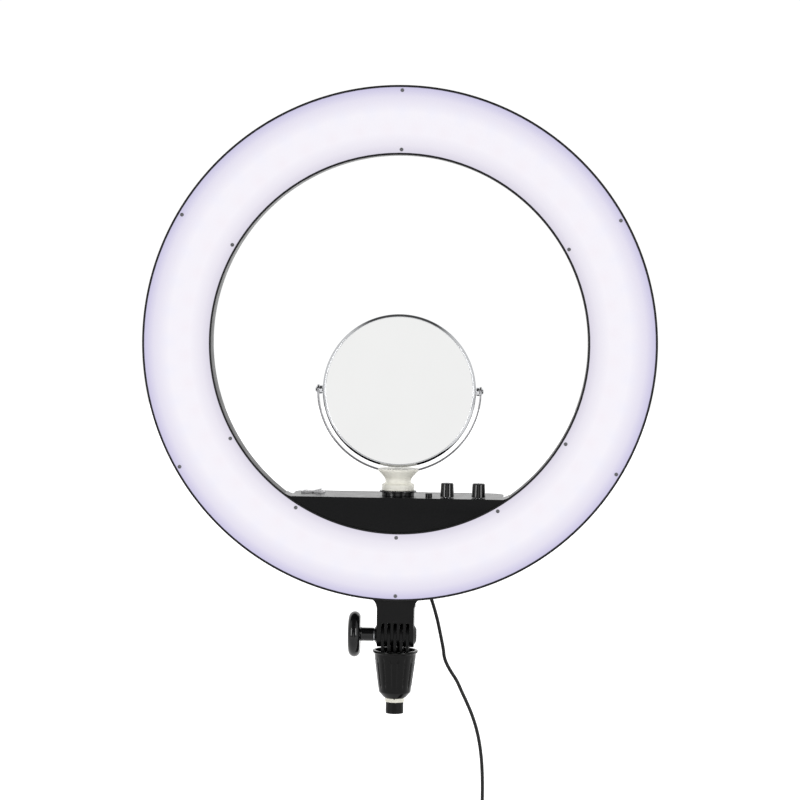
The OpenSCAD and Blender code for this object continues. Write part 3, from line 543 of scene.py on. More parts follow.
@dataclass(frozen=True)
class LitOpal:
    """Opal sheet with the lamps shining through it.

    The glow follows the share of the way across the band, from the opening's edge to the rim: the
    edges are lavender and the middle is near white. Each lamp adds a faint soft patch.

    Args:
        centre: the ring's centre.
        inner: radius of the band's inner edge.
        outer: radius of its outer edge.
        lamps: lamps in each row.
        spread: distance of each row from the band's middle.
        patch: radius of the soft patch over a lamp.
    """

    centre: Point
    inner: float
    outer: float
    lamps: int = 48
    spread: float = 8 * MM
    patch: float = 9 * MM

    def patches(self, n: Nodes, x: Any, z: Any, radius: Any, row: float, shift: float) -> Any:
        """Soft round patches over one row of lamps.

        Args:
            n: the material's nodes.
            x: place across, from the centre.
            z: place up, from the centre.
            radius: distance from the centre.
            row: the row's radius.
            shift: turn of the row, as a share of the lamps' pitch.

        Returns:
            0 away from the lamps and 1 over each.
        """
        angle = n.maths("ARCTAN2", z, x)
        count = n.maths("MULTIPLY_ADD", angle, self.lamps / TURN, shift + self.lamps)
        off = n.maths("ABSOLUTE", n.maths("SUBTRACT", n.maths("FRACT", count), 0.5))
        pitch = TURN * row / self.lamps
        across = n.maths("MULTIPLY", off, pitch)
        far = n.hypotenuse(across, n.maths("SUBTRACT", radius, row))
        return n.between(far, 1.0, 0.0, 0.0, self.patch)

    def material(self, name: str) -> bpy.types.Material:
        """Builds the material."""
        n = Nodes(name)
        split = n.add("SeparateXYZ", {0: n.place(self.centre)})
        x, z = split.outputs[0], split.outputs[2]
        radius = n.hypotenuse(x, z)
        across = n.between(radius, 0.0, 1.0, self.inner, self.outer)
        tinted = n.ramp(across, [
            (0.0, (0.63, 0.60, 0.70)), (0.12, (0.75, 0.72, 0.80)), (0.3, (0.84, 0.815, 0.875)),
            (0.62, (0.84, 0.815, 0.875)), (0.86, (0.70, 0.67, 0.79)), (1.0, (0.52, 0.49, 0.69))])
        middle = (self.inner + self.outer) / 2
        for side, shift, share, tint in (
            (1, 0.5, 0.10, (0.62, 0.70, 0.95, 1.0)),
            (-1, 0.0, 0.08, (0.80, 0.58, 0.62, 1.0)),
        ):
            row = self.patches(n, x, z, radius, middle + side * self.spread, shift)
            tinted = n.veiled(n.maths("MULTIPLY", row, share), tinted, tint)
        n.link(tinted, "Emission Color")
        cloud = n.noise(30 * MM, 2)
        n.skin(cloud, (0.08, 0.08, 0.085), 0.02, cloud, 0.36, 0.44)
        n.set(Emission_Strength=1.0, Specular_IOR_Level=0.25)
        n.bump(n.noise(0.3 * MM, 1), 0.004 * MM)
        return n.material


@dataclass(frozen=True)
class Lit:
    """A glowing lamp, with a faint cloudiness in its lens.

    Args:
        colour: colour of the lens and of its glow.
        strength: brightness of the glow.
    """

    colour: Colour
    strength: float = 2.0

    def material(self, name: str) -> bpy.types.Material:
        """Builds the material."""
        n = Nodes(name)
        cloud = n.noise(1.2 * MM, 2)
        n.link(n.mottled(cloud, self.colour, 0.1), "Base Color")
        n.link(n.mottled(cloud, self.colour, 0.15), "Emission Color")
        n.set(Emission_Strength=self.strength, Roughness=0.3)
        return n.material


@dataclass(frozen=True)
class Circuit:
    """Lacquered board with copper tracks that show through the lacquer.

    Args:
        lacquer: colour of the lacquer, which lies over the copper.
        track: colour of the lines between the copper areas.
    """

    lacquer: Colour
    track: Colour

    def material(self, name: str) -> bpy.types.Material:
        """Builds the material."""
        n = Nodes(name)
        grid = {"Vector": n.place(), "Scale": 1 / (5 * MM)}
        cells = n.add("TexVoronoi", grid, distance="CHEBYCHEV", feature="F1")
        line = n.between(cells.outputs["Distance"], 0.0, 1.0, 0.42, 0.46)
        n.link(n.ramp(line, [(0.0, self.lacquer), (1.0, self.track)]), "Base Color")
        n.link(n.between(n.noise(4 * MM, 2), 0.22, 0.34), "Roughness")
        n.bump(line, 0.03 * MM)
        return n.material


@dataclass(frozen=True)
class Woven:
    """Webbing: two crossed sets of threads.

    Args:
        colour: the thread's colour.
        thread: pitch of the threads.
    """

    colour: Colour
    thread: float = 0.7 * MM

    def material(self, name: str) -> bpy.types.Material:
        """Builds the material."""
        n = Nodes(name)
        wave = {"Vector": n.place(), "Scale": 1 / (20 * self.thread), "Distortion": 0.4}
        bands = [n.add("TexWave", wave, bands_direction=axis) for axis in ("X", "Z")]
        weave = n.maths("MAXIMUM", *(band.outputs["Fac"] for band in bands))
        n.skin(weave, self.colour, 0.5, n.noise(3 * MM, 2), 0.75, 0.95)
        n.set(Sheen_Weight=0.15)
        n.bump(weave, 0.12 * MM)
        return n.material


class Wardrobe:
    """The finish of each material slot of the model, and two that single pieces wear instead."""

    def __init__(self, frame: dict[str, Any]) -> None:
        """Lists the finishes and makes the materials.
        """
        self.frame = frame
        centre, (outer, _, _) = extent("diffuser")
        band = 57.8 * MM
        black = (0.0065, 0.0065, 0.007)
        finishes: dict[str, Any] = {
            "tube_paint": PowderCoat((0.005, 0.005, 0.0047)),
            "plug_nylon": Moulded((0.05, 0.05, 0.053), 0.55),
            "joint_black": Moulded((0.003, 0.003, 0.0032), 0.34, 0.22, depth=0.012 * MM),
            "collet_nylon": Moulded((0.84, 0.82, 0.72), 0.42, 0.4),
            "collar_gloss": Moulded((0.002, 0.002, 0.002), 0.12, 0.24, depth=0.002 * MM),
            "screw_steel": Metal((0.62, 0.63, 0.65), 0.3),
            "screw_dark": Moulded((0.15, 0.15, 0.16), 0.35, 0.6, depth=0.004 * MM),
            "knob_gloss": Moulded((0.004, 0.004, 0.0045), 0.14, 0.5, depth=0.002 * MM),
            "housing_black": Moulded(black, 0.36, 0.3),
            "diffuser_opal": LitOpal(tuple(centre), outer - band, outer),
            "board_white": Circuit((0.78, 0.78, 0.76), (0.86, 0.86, 0.84)),
            "lamp_cool": Lit((0.9, 0.95, 1.0)),
            "lamp_warm": Lit((1.0, 0.86, 0.6)),
            "wire_red": Moulded((0.42, 0.03, 0.02), 0.45),
            "box_gloss": Moulded((0.003, 0.0032, 0.0036), 0.22, 0.16, depth=0.005 * MM),
            "cover_black": Moulded(black, 0.42, 0.32, depth=0.014 * MM),
            "circuit_green": Circuit((0.015, 0.13, 0.05), (0.03, 0.19, 0.08)),
            "parts_dark": Moulded((0.035, 0.037, 0.042), 0.4),
            "switch_black": Moulded((0.022, 0.022, 0.024), 0.35),
            "switch_smoke": Moulded((0.74, 0.74, 0.75), 0.2, 0.6, depth=0.002 * MM),
            "rocker_smoke": Moulded((0.80, 0.80, 0.81), 0.12, 0.6, depth=0.002 * MM),
            "pot_metal": Metal((0.45, 0.46, 0.48), 0.35),
            "shaft_metal": Metal((0.72, 0.73, 0.75), 0.3, (1, 1, 0.05)),
            "foot_gloss": Moulded((0.008, 0.008, 0.0085), 0.16, 0.5, depth=0.002 * MM),
            "pedestal_cream": Moulded(
                (0.90, 0.885, 0.80), 0.28, 0.4, depth=0.003 * MM, mottle=0.02),
            "chrome": Metal((0.80, 0.81, 0.83), 0.07, depth=0.0005 * MM),
            "core_dark": Moulded((0.03, 0.03, 0.033), 0.6),
            "mirror_flat": SilveredGlass(),
            "mirror_dished": SilveredGlass((0.95, 0.955, 0.955)),
            "cord_rubber": Moulded((0.009, 0.009, 0.0095), 0.42, 0.3, grain=0.5 * MM),
            "moulded_black": Moulded((0.013, 0.013, 0.014), 0.45, 0.35, depth=0.02 * MM),
            "blade_brass": Metal((0.66, 0.56, 0.32), 0.22, (1, 1, 0.05)),
            "smoked_chrome": Metal((0.30, 0.30, 0.31), 0.09, depth=0.0005 * MM),
            "strap_weave": Woven((0.02, 0.02, 0.022)),
        }
        self.materials = {name: finish.material(name) for name, finish in finishes.items()}

    def dress_frame(self) -> None:
        """Gives every node of the model the material of its slot."""
        for entry in self.frame["record"]["subparts"]:
            node = self.frame["nodes"][entry["node"]]
            material = self.materials[entry["material_slot"]]
            for place in node.material_slots:
                place.material = material
            log.info("%s wears %s", entry["node"], material.name)


# ---- pieces


def build(name: str, patches: Sequence[Patch], sharp: float = 32.0) -> bpy.types.Object:
    """Makes a mesh object of patches, with doubled points merged and faces outwards.

    Args:
        name: the piece's name.
        patches: its surfaces.
        sharp: edges that turn by more degrees than this stay crisp.

    Returns:
        The object, at the origin.
    """
    points, faces = [], []
    first = 0
    for patch in patches:
        faces += patch.faces(first)
        points.append(patch.grid.reshape(-1, 3))
        first += patch.grid.shape[0] * patch.grid.shape[1]
    mesh = bpy.data.meshes.new(name)
    mesh.from_pydata(np.vstack(points).tolist(), [], faces)
    return finish_mesh(name, mesh, sharp)


def finish_mesh(
    name: str, mesh: bpy.types.Mesh, sharp: float, flat: float = 0.0
) -> bpy.types.Object:
    """Merges a mesh's doubles, turns its faces outwards, shades it and puts it in the scene.

    Args:
        name: the piece's name.
        mesh: the mesh.
        sharp: edges that turn by more degrees than this stay crisp.
        flat: faces that turn by less than this many degrees are joined.

    Returns:
        The object, at the origin.
    """
    work = bmesh.new()
    work.from_mesh(mesh)
    bmesh.ops.remove_doubles(work, verts=work.verts, dist=0.002 * MM)
    bmesh.ops.dissolve_degenerate(work, edges=work.edges, dist=0.001 * MM)
    if flat:
        limit = math.radians(flat)
        bmesh.ops.dissolve_limit(work, verts=work.verts, edges=work.edges, angle_limit=limit)
    bmesh.ops.recalc_face_normals(work, faces=work.faces)
    work.to_mesh(mesh)
    work.free()
    mesh.shade_smooth()
    mesh.set_sharp_from_angle(angle=math.radians(sharp))
    piece = bpy.data.objects.new(name, mesh)
    bpy.context.scene.collection.objects.link(piece)
    return piece


class Workshop:
    """Puts finished pieces on the model."""

    def __init__(self, frame: dict[str, Any], wardrobe: Wardrobe) -> None:
        """Keeps the frame, the materials and each node's body and slot."""
        self.frame = frame
        self.wardrobe = wardrobe
        record = frame["record"]
        self.slots = {entry["node"]: entry["material_slot"] for entry in record["subparts"]}
        bodies = record["behaviour"]["bodies"]
        self.bodies = {node: body for body, nodes in bodies.items() for node in nodes}

    def fit(
        self, piece: bpy.types.Object, node: str, material: str = "", ride: bool = True
    ) -> bpy.types.Object:
        """Lets a piece stand for a node: same body, same slot, same finish.

        Args:
            piece: the piece.
            node: the node that it replaces.
            material: a material to wear in place of the slot's own.
            ride: False where the piece bends between bodies.

        Returns:
            The piece.
        """
        slot = self.slots[node]
        piece.data.materials.clear()
        piece.data.materials.append(self.wardrobe.materials[material or slot])
        if ride:
            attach(piece, self.bodies[node])
        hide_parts(node)
        log.info("%s: %d faces, for %s", piece.name, len(piece.data.polygons), node)
        return piece

    def soften(self, *nodes: str, width: float, facets: int = 2) -> None:
        """Lets copies with rounded edges stand for nodes.

        Args:
            nodes: the nodes.
            width: width of the rounding.
            facets: facets across it.
        """
        for node in nodes:
            mesh = self.frame["nodes"][node].data.copy()
            piece = finish_mesh(node + "_soft", mesh, sharp=28.0, flat=0.6)
            bevel = piece.modifiers.new("edges", "BEVEL")
            bevel.width = width
            bevel.segments = facets
            bevel.limit_method = "ANGLE"
            bevel.angle_limit = math.radians(32)
            bevel.use_clamp_overlap = True
            bevel.harden_normals = True
            self.fit(piece, node)

    def nearest(self, node: str, centre: np.ndarray, axis: Axis) -> float:
        """Shortest distance from an axis to a node's points: the radius of its opening."""
        mesh = self.frame["nodes"][node].data
        points = np.empty(len(mesh.vertices) * 3)
        mesh.vertices.foreach_get("co", points)
        across = (points.reshape(-1, 3) - centre)[:, list(axis.value[1:])]
        return float(np.linalg.norm(across, axis=1).min())


# ---- studio


@dataclass
class Studio:
    """Camera, floor and lights round the ring.

    Args:
        centre: the ring's centre.
        front: depth of the ring's front plane.
        floor: height of the floor.
        distance: from the camera to that plane.
        stand: how far right of the centre and above it the camera stands.
        aim: how far right of the centre and above it the camera looks.
        seen_width: width of the front plane that fills the picture.
        roll: turn of the camera about its own axis.
        floor_x: the floor's sides.
        floor_y: its front and rear edges.
        floor_glow: its own light at the front and at the rear.
        glow_y: where that light starts to grow and where it is full.
        backdrop: brightness behind the object.
        room: brightness everywhere else.
        walls: brightness at the sides.
        card: brightness of the round card in front.
        backdrop_turn: y of the directions in which the backdrop starts and is full.
        walls_turn: the same for a wall, by the size of x.
        card_turn: the same for the card, by y.
        lamp_at: place of the right softbox from the centre; the left one mirrors it.
        lamp_size: width and height of a softbox.
        radiance: brightness of its face.
    """

    centre: Point
    front: float
    floor: float
    distance: float = 2.4
    stand: Span = (0.113, 0.083)
    aim: Span = (0.0017, -0.0495)
    seen_width: float = 0.711
    roll: float = math.radians(0.8)
    floor_x: Span = (-9.0, 9.0)
    floor_y: Span = (-2.0, 9.0)
    floor_glow: Span = (0.05, 0.85)
    glow_y: Span = (-0.3, 0.9)
    backdrop: float = 1.04
    room: float = 0.07
    walls: float = 0.70
    card: float = 0.91
    backdrop_turn: Span = (0.0, 0.45)
    walls_turn: Span = (0.35, 0.75)
    card_turn: Span = (-0.955, -0.975)
    lamp_at: Point = (1.55, -1.55, 0.35)
    lamp_size: Span = (0.55, 1.3)
    radiance: float = 6.5

    def camera(self) -> None:
        """Puts the camera in front of the ring, a little right of it and above, and rolls it."""
        x, _, z = self.centre
        eye = Vector((x + self.stand[0], self.front - self.distance, z + self.stand[1]))
        aim = Vector((x + self.aim[0], self.front, z + self.aim[1]))
        ahead = (aim - eye).normalized()
        right = ahead.cross(Vector((0, 0, 1))).normalized()
        up = right.cross(ahead)
        c, s = math.cos(self.roll), math.sin(self.roll)
        right, up = right * c + up * s, up * c - right * s
        data = bpy.data.cameras.new("camera")
        data.sensor_width = SENSOR
        data.lens = SENSOR * self.distance / self.seen_width
        data.dof.use_dof = False
        camera = bpy.data.objects.new("camera", data)
        turn = Matrix((right, up, -ahead)).transposed()
        camera.matrix_world = Matrix.Translation(eye) @ turn.to_4x4()
        bpy.context.scene.collection.objects.link(camera)
        bpy.context.scene.camera = camera
        log.info("camera: lens %.1f mm", data.lens)

    def ground(self) -> None:
        """Lays a plain pale floor under the lead's end, which glows more towards its rear."""
        corners = [(x, y, self.floor) for y in self.floor_y for x in self.floor_x]
        mesh = bpy.data.meshes.new("floor")
        mesh.from_pydata(corners, [], [[0, 1, 3, 2]])
        floor = bpy.data.objects.new("floor", mesh)
        n = Nodes("floor_paper")
        depth = n.add("SeparateXYZ", {0: n.place()}).outputs[1]
        n.link(n.mottled(n.noise(0.4, 2), (0.93, 0.93, 0.93), 0.01), "Base Color")
        n.link(n.between(depth, *self.floor_glow, *self.glow_y), "Emission Strength")
        n.set(Roughness=0.9, Emission_Color=(1, 1, 1, 1))
        floor.data.materials.append(n.material)
        bpy.context.scene.collection.objects.link(floor)
        floor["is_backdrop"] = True

    def surroundings(self) -> None:
        """White behind the object, pale at its sides, and dim in front but for one round card.

        The brightness of a direction is the greatest of three: the room, which grows to the
        backdrop as the direction turns back, the walls as it turns sideways, and the card.
        """
        world = bpy.data.worlds.new("studio")
        n = Tree(world)
        x, y, _ = n.add("SeparateXYZ", {0: n.add("TexCoord").outputs["Generated"]}).outputs
        brightest: Any = 0.0
        for span in (
            (y, *self.backdrop_turn, self.room, self.backdrop),
            (n.maths("ABSOLUTE", x), *self.walls_turn, 0.0, self.walls),
            (y, *self.card_turn, 0.0, self.card),
        ):
            part = n.add("MapRange", dict(enumerate(span)), interpolation_type="SMOOTHSTEP")
            brightest = n.maths("MAXIMUM", brightest, part.outputs[0])
        shine = n.add("Background", {"Color": (1, 1, 1, 1), "Strength": brightest})
        n.add("OutputWorld", {0: shine.outputs[0]})
        bpy.context.scene.world = world

    def softbox(self, name: str, side: int) -> None:
        """A rectangular light that faces the ring.

        Args:
            name: its name.
            side: 1 for the right of the ring and -1 for its left.
        """
        width, height = self.lamp_size
        data = bpy.data.lights.new(name, "AREA")
        data.shape = "RECTANGLE"
        data.size, data.size_y = width, height
        data.energy = self.radiance * math.pi * width * height
        light = bpy.data.objects.new(name, data)
        across, depth, rise = self.lamp_at
        place = Vector(self.centre) + Vector((side * across, depth, rise))
        turn = (Vector(self.centre) - place).to_track_quat("-Z", "Y")
        light.matrix_world = Matrix.Translation(place) @ turn.to_matrix().to_4x4()
        bpy.context.scene.collection.objects.link(light)

    def build(self) -> None:
        """Sets everything up."""
        self.camera()
        self.ground()
        self.surroundings()
        self.softbox("left_softbox", -1)
        self.softbox("right_softbox", 1)
        bpy.context.scene.view_settings.view_transform = "Standard"


# ---- ring


@dataclass
class RingShell:
    """Tray of the ring: a channel turned about the ring's axis, with rounded lips.

    Args:
        shop: the workshop.
        wall: thickness of its walls.
        back_wall: thickness of its back.
        back_round: radius of its rear edges.
        lip: radius of its front edges.
    """

    shop: Workshop
    wall: float = 1.8 * MM
    back_wall: float = 2.0 * MM
    back_round: float = 5.0 * MM
    lip: float = 0.55 * MM

    def build(self) -> None:
        """Turns the channel and softens the screws."""
        centre, (rim, half, _) = extent("ring_housing")
        hole = self.shop.nearest("ring_housing", centre, Axis.Y)
        inner, bed = self.back_round - self.back_wall, half - self.back_wall
        outline = filleted([
            (rim, -half, self.lip), (rim, half, self.back_round),
            (hole, half, self.back_round), (hole, -half, self.lip),
            (hole + self.wall, -half, self.lip), (hole + self.wall, bed, inner),
            (rim - self.wall, bed, inner), (rim - self.wall, -half, self.lip)])
        shell = build("ring_shell", [turned(outline, Axis.Y, centre, 288, closed=True)])
        self.shop.fit(shell, "ring_housing")
        self.shop.soften("diffuser_screws", "bracket_screws", "cover_screws", width=0.25 * MM)


@dataclass
class ControlPanel:
    """Box across the foot of the opening, its rear cover and the controls on its top.

    Args:
        shop: the workshop.
    """

    shop: Workshop

    def build(self) -> None:
        """Softens the cases and the controls."""
        soften = self.shop.soften
        soften("control_box", "box_cover", width=0.6 * MM, facets=3)
        soften("brightness_knob", "colour_knob", "push_button", width=0.45 * MM, facets=3)
        soften("switch_frame", "power_rocker", width=0.3 * MM)


# ---- mirror


@dataclass
class MirrorAssembly:
    """Mirror in its yoke, on a pedestal that turns in a foot.

    Args:
        shop: the workshop.
        pedestal: its outline in millimetres: each corner's radius from the axis, its height over
            the pedestal's underside and the radius of its rounding.
        yoke_width: width of the yoke's strip.
        yoke_thick: its thickness.
        yoke_round: radius of the strip's edges, as a share of half its thickness.
        yoke_steps: points along its half turn.
        rim_deep: how far the rim reaches in from its outside.
        dish: depth of the magnifying glass's hollow.
    """

    shop: Workshop
    pedestal: Sequence[Sequence[float]] = (
        (5.06, 0, 0.1), (14.2, 0, 0.3), (14.7, 0.6, 0.4), (14.7, 5.1, 0.5), (14.0, 5.9, 0.4),
        (12.4, 6.3, 0.5), (11.8, 7.3, 0.5), (11.8, 9.7, 1.0), (12.3, 11.1, 1.2), (14.4, 13.5, 2.0),
        (16.9, 16.1, 2.0), (18.6, 17.9, 0.8), (19.0, 18.7, 0.4), (18.6, 19.7, 0.4))
    yoke_width: float = 9.0 * MM
    yoke_thick: float = 1.6 * MM
    yoke_round: float = 0.96
    yoke_steps: int = 121
    rim_deep: float = 2.9 * MM
    dish: float = 1.2 * MM

    def stand(self) -> None:
        """Turns the pedestal and softens its foot and the pivots."""
        middle, half = extent("mirror_pedestal")
        outline = filleted(np.array(self.pedestal) * MM, closed=False, steps=5)
        profile = np.vstack([outline, [[0.0, outline[-1, 1]]]])
        foot = middle - [0, 0, half[2]]
        piece = build("pedestal_turned", [turned(profile, Axis.Z, foot, 96)])
        self.shop.fit(piece, "mirror_pedestal")
        self.shop.soften("mirror_foot", width=0.35 * MM, facets=3)
        self.shop.soften("pivot_pins", width=0.25 * MM, facets=3)

    def yoke(self) -> None:
        """Carries a rounded strip round the lower half turn, its ends rounded about the pivots.

        Past a pivot by s the half width is sqrt(h² - s²), where h is half the strip's width. The
        last s stops just short of h, so the end keeps a width.
        """
        centre, (radius, _, _) = extent("mirror_yoke")
        centre[2] = extent("pivot_pins")[0][2]
        thick, half = self.yoke_thick / 2, self.yoke_width / 2
        radius -= thick
        past = half * np.sin(np.linspace(0, math.pi / 2, 9)[1:]) * 0.999
        bend, narrow = past / radius, np.sqrt(half**2 - past**2)
        arc = np.linspace(math.pi, TURN, self.yoke_steps)
        angle = np.concatenate([math.pi - bend[::-1], arc, TURN + bend])
        width = np.concatenate([narrow[::-1], np.full(self.yoke_steps, half), narrow])
        path = centre + radius * np.stack([np.cos(angle), 0 * angle, np.sin(angle)], axis=1)
        strip = rectangle(thick, half, self.yoke_round * thick)
        share = np.stack([np.ones(len(path)), width / half], axis=1)
        piece = build("yoke_strip", [swept(path, strip[None] * share[:, None])], sharp=40)
        self.shop.fit(piece, "mirror_yoke", material="smoked_chrome")

    def mirror(self) -> None:
        """Turns the rim and the two glasses."""
        centre, (rim, half, _) = extent("mirror_rim")
        lip, flat_face, fall = 0.9 * MM, 0.7 * MM, 1.5 * MM
        clear, bevel, border = 0.1 * MM, 0.3 * MM, 1.5 * MM
        inside = rim - self.rim_deep
        face, seat = inside + flat_face, inside + lip
        fallen, bed = half - fall, half - lip
        outline = filleted([
            (inside, -half, 0.3 * MM), (face, -half, 0.5 * MM),
            (rim, -fallen, 1.2 * MM), (rim, fallen, 1.2 * MM),
            (face, half, 0.5 * MM), (inside, half, 0.3 * MM),
            (inside, bed, 0.2 * MM), (seat, bed, 0), (seat, -bed, 0), (inside, -bed, 0.2 * MM)])
        ring = build("mirror_rim_turned", [turned(outline, Axis.Y, centre, 192, closed=True)])
        self.shop.fit(ring, "mirror_rim")
        for node, side in (("mirror_glass", -1), ("magnifying_glass", 1)):
            near, far = np.array(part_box(node))[:, 1] - centre[1]
            face, back = (near, far) if side < 0 else (far, near)
            edge = seat - clear
            flat = edge - border
            r = np.linspace(0, flat, 25)
            hollow = self.dish * (1 - (r / flat) ** 2) if side > 0 else 0 * r
            profile = np.vstack([
                [0, back], [edge, back], [edge, face - side * bevel], [edge - bevel, face],
                np.stack([r, face - side * hollow], axis=1)[::-1]])
            piece = build(node + "_turned", [turned(profile, Axis.Y, centre, 144)], sharp=12)
            self.shop.fit(piece, node)

    def build(self) -> None:
        """Builds the whole assembly."""
        self.stand()
        self.yoke()
        self.mirror()


# ---- tilt joint


@dataclass
class TiltJoint:
    """Bracket under the ring, the knuckle on the stand, its clamp collar and the tilt knob.

    Args:
        shop: the workshop.
        grooves: long grooves round the collar.
        groove_deep: their depth.
        groove_half: half their width.
        knob_round: radius of the tilt knob's rim.
        shaft: radius of the knob's shaft.
        shaft_long: its length.
    """

    shop: Workshop
    grooves: int = 16
    groove_deep: float = 0.75 * MM
    groove_half: float = 1.55 * MM
    knob_round: float = 5.4 * MM
    shaft: float = 6.1 * MM
    shaft_long: float = 11.8 * MM

    @staticmethod
    def collar_profile(rim: float, height: float) -> tuple[np.ndarray, int]:
        """Section of the clamp collar, from its rim down to its foot and up its bore.

        Args:
            rim: radius of the rim.
            height: height of the collar.

        Returns:
            Radius and place of each point, n by 2, and how many of them lie on the outside.
        """
        lip, band, step, shoulder = 2.4 * MM, 2.0 * MM, 1.4 * MM, 2.8 * MM
        taper, toe, foot = 6.0 * MM, 5.6 * MM, 0.7 * MM
        mouth, seat, bore = 8.9 * MM, 11.0 * MM, 11.66 * MM
        throat, seat_low, seat_high, pocket = 2.2 * MM, 5.2 * MM, 8.0 * MM, 10.4 * MM
        top, end = (rim - step, -shoulder), (rim - taper, toe - height)
        outer = filleted([
            (rim - lip, 0, 0.1 * MM), (rim, 0, 0.6 * MM), (rim, -band, 0.5 * MM),
            (*top, 0.6 * MM), (*end, 2 * MM), (mouth + foot, -height, 4.2 * MM),
            (mouth, -height, 0.2 * MM)], closed=False)
        side = np.linspace(top, end, 40)[1:-1]
        place = np.searchsorted(-outer[:, 1], -side[0, 1])
        outer = np.vstack([outer[:place], side[1:-2], outer[place:]])
        inner = np.array([
            (mouth, throat - height), (seat, seat_low - height), (seat, seat_high - height),
            (bore, seat_high - height), (bore, -pocket), (rim - lip, -pocket)])
        return np.vstack([outer, inner]), len(outer)

    def collar(self) -> None:
        """Turns the tapered collar and presses the grooves into its side.

        A groove's depth is half of (1 + cos) across its width, and fades in and out along the side.
        """
        middle, half = extent("collar")
        centre, height = middle + [0, 0, half[2]], 2 * half[2]
        profile, outside = self.collar_profile(half[0], height)
        radius, depth = profile[:, :1], profile[:, 1]
        columns = self.grooves * 18
        patch = turned(profile, Axis.Z, centre, columns, closed=True)
        angle = np.linspace(0, self.grooves, columns, endpoint=False)
        off = np.abs(angle - np.floor(angle) - 0.5) * TURN / self.grooves
        across = np.minimum(off[None, :] * radius / self.groove_half, 1)
        end, end_fade, top, top_fade = 7.5 * MM - height, 7 * MM, -4.6 * MM, 5 * MM
        fade = smoothstep(depth, end, end + end_fade) * (1 - smoothstep(depth, top - top_fade, top))
        fade[outside:] = 0
        deep = self.groove_deep * 0.5 * (1 + np.cos(math.pi * across)) * fade[:, None]
        shrink = 1 - deep / np.maximum(radius, MM)
        plan = patch.grid[..., :2]
        plan[...] = centre[:2] + (plan - centre[:2]) * shrink[..., None]
        self.shop.fit(build("collar_fluted", [patch], sharp=60), "collar")

    def knob(self) -> None:
        """Turns the tilt knob: a shaft and a disc with a fully round rim."""
        middle, half = extent("tilt_knob")
        centre, radius = middle + [half[0], 0, 0], half[2]
        bore, bore_deep, dish, dish_run = 3.02 * MM, 10.8 * MM, 0.5 * MM, 6 * MM
        start, flat = self.shaft_long, radius - self.knob_round
        middle = start + self.knob_round
        neck = filleted([
            (bore, 0, 0.1 * MM), (self.shaft, 0, 0.4 * MM),
            (self.shaft, start, 1.2 * MM), (flat - 0.5 * MM, start, 0.1 * MM)], closed=False)
        a = np.linspace(-math.pi / 2, math.pi / 2, 41)
        rim = np.array([flat, middle]) + self.knob_round * np.stack([np.cos(a), np.sin(a)], axis=1)
        reach = np.linspace(flat - 1 * MM, 0, 12)
        sunk = dish * smoothstep(flat - reach, 0, dish_run)
        face = np.stack([reach, middle + self.knob_round - sunk], axis=1)
        profile = np.vstack([[(0, bore_deep), (bore, bore_deep)], neck, rim, face]) * [1, -1]
        knob = build("tilt_knob_turned", [turned(profile, Axis.X, centre, 128)], sharp=36)
        self.shop.fit(knob, "tilt_knob")

    def build(self) -> None:
        """Softens the bracket, the knuckle and the collet, and turns the rest."""
        soften = self.shop.soften
        soften("tilt_bracket", width=0.5 * MM, facets=3)
        soften("knuckle", width=0.35 * MM)
        soften("collet", width=0.25 * MM)
        soften("knob_washer", width=0.1 * MM)
        self.collar()
        self.knob()


# ---- power lead


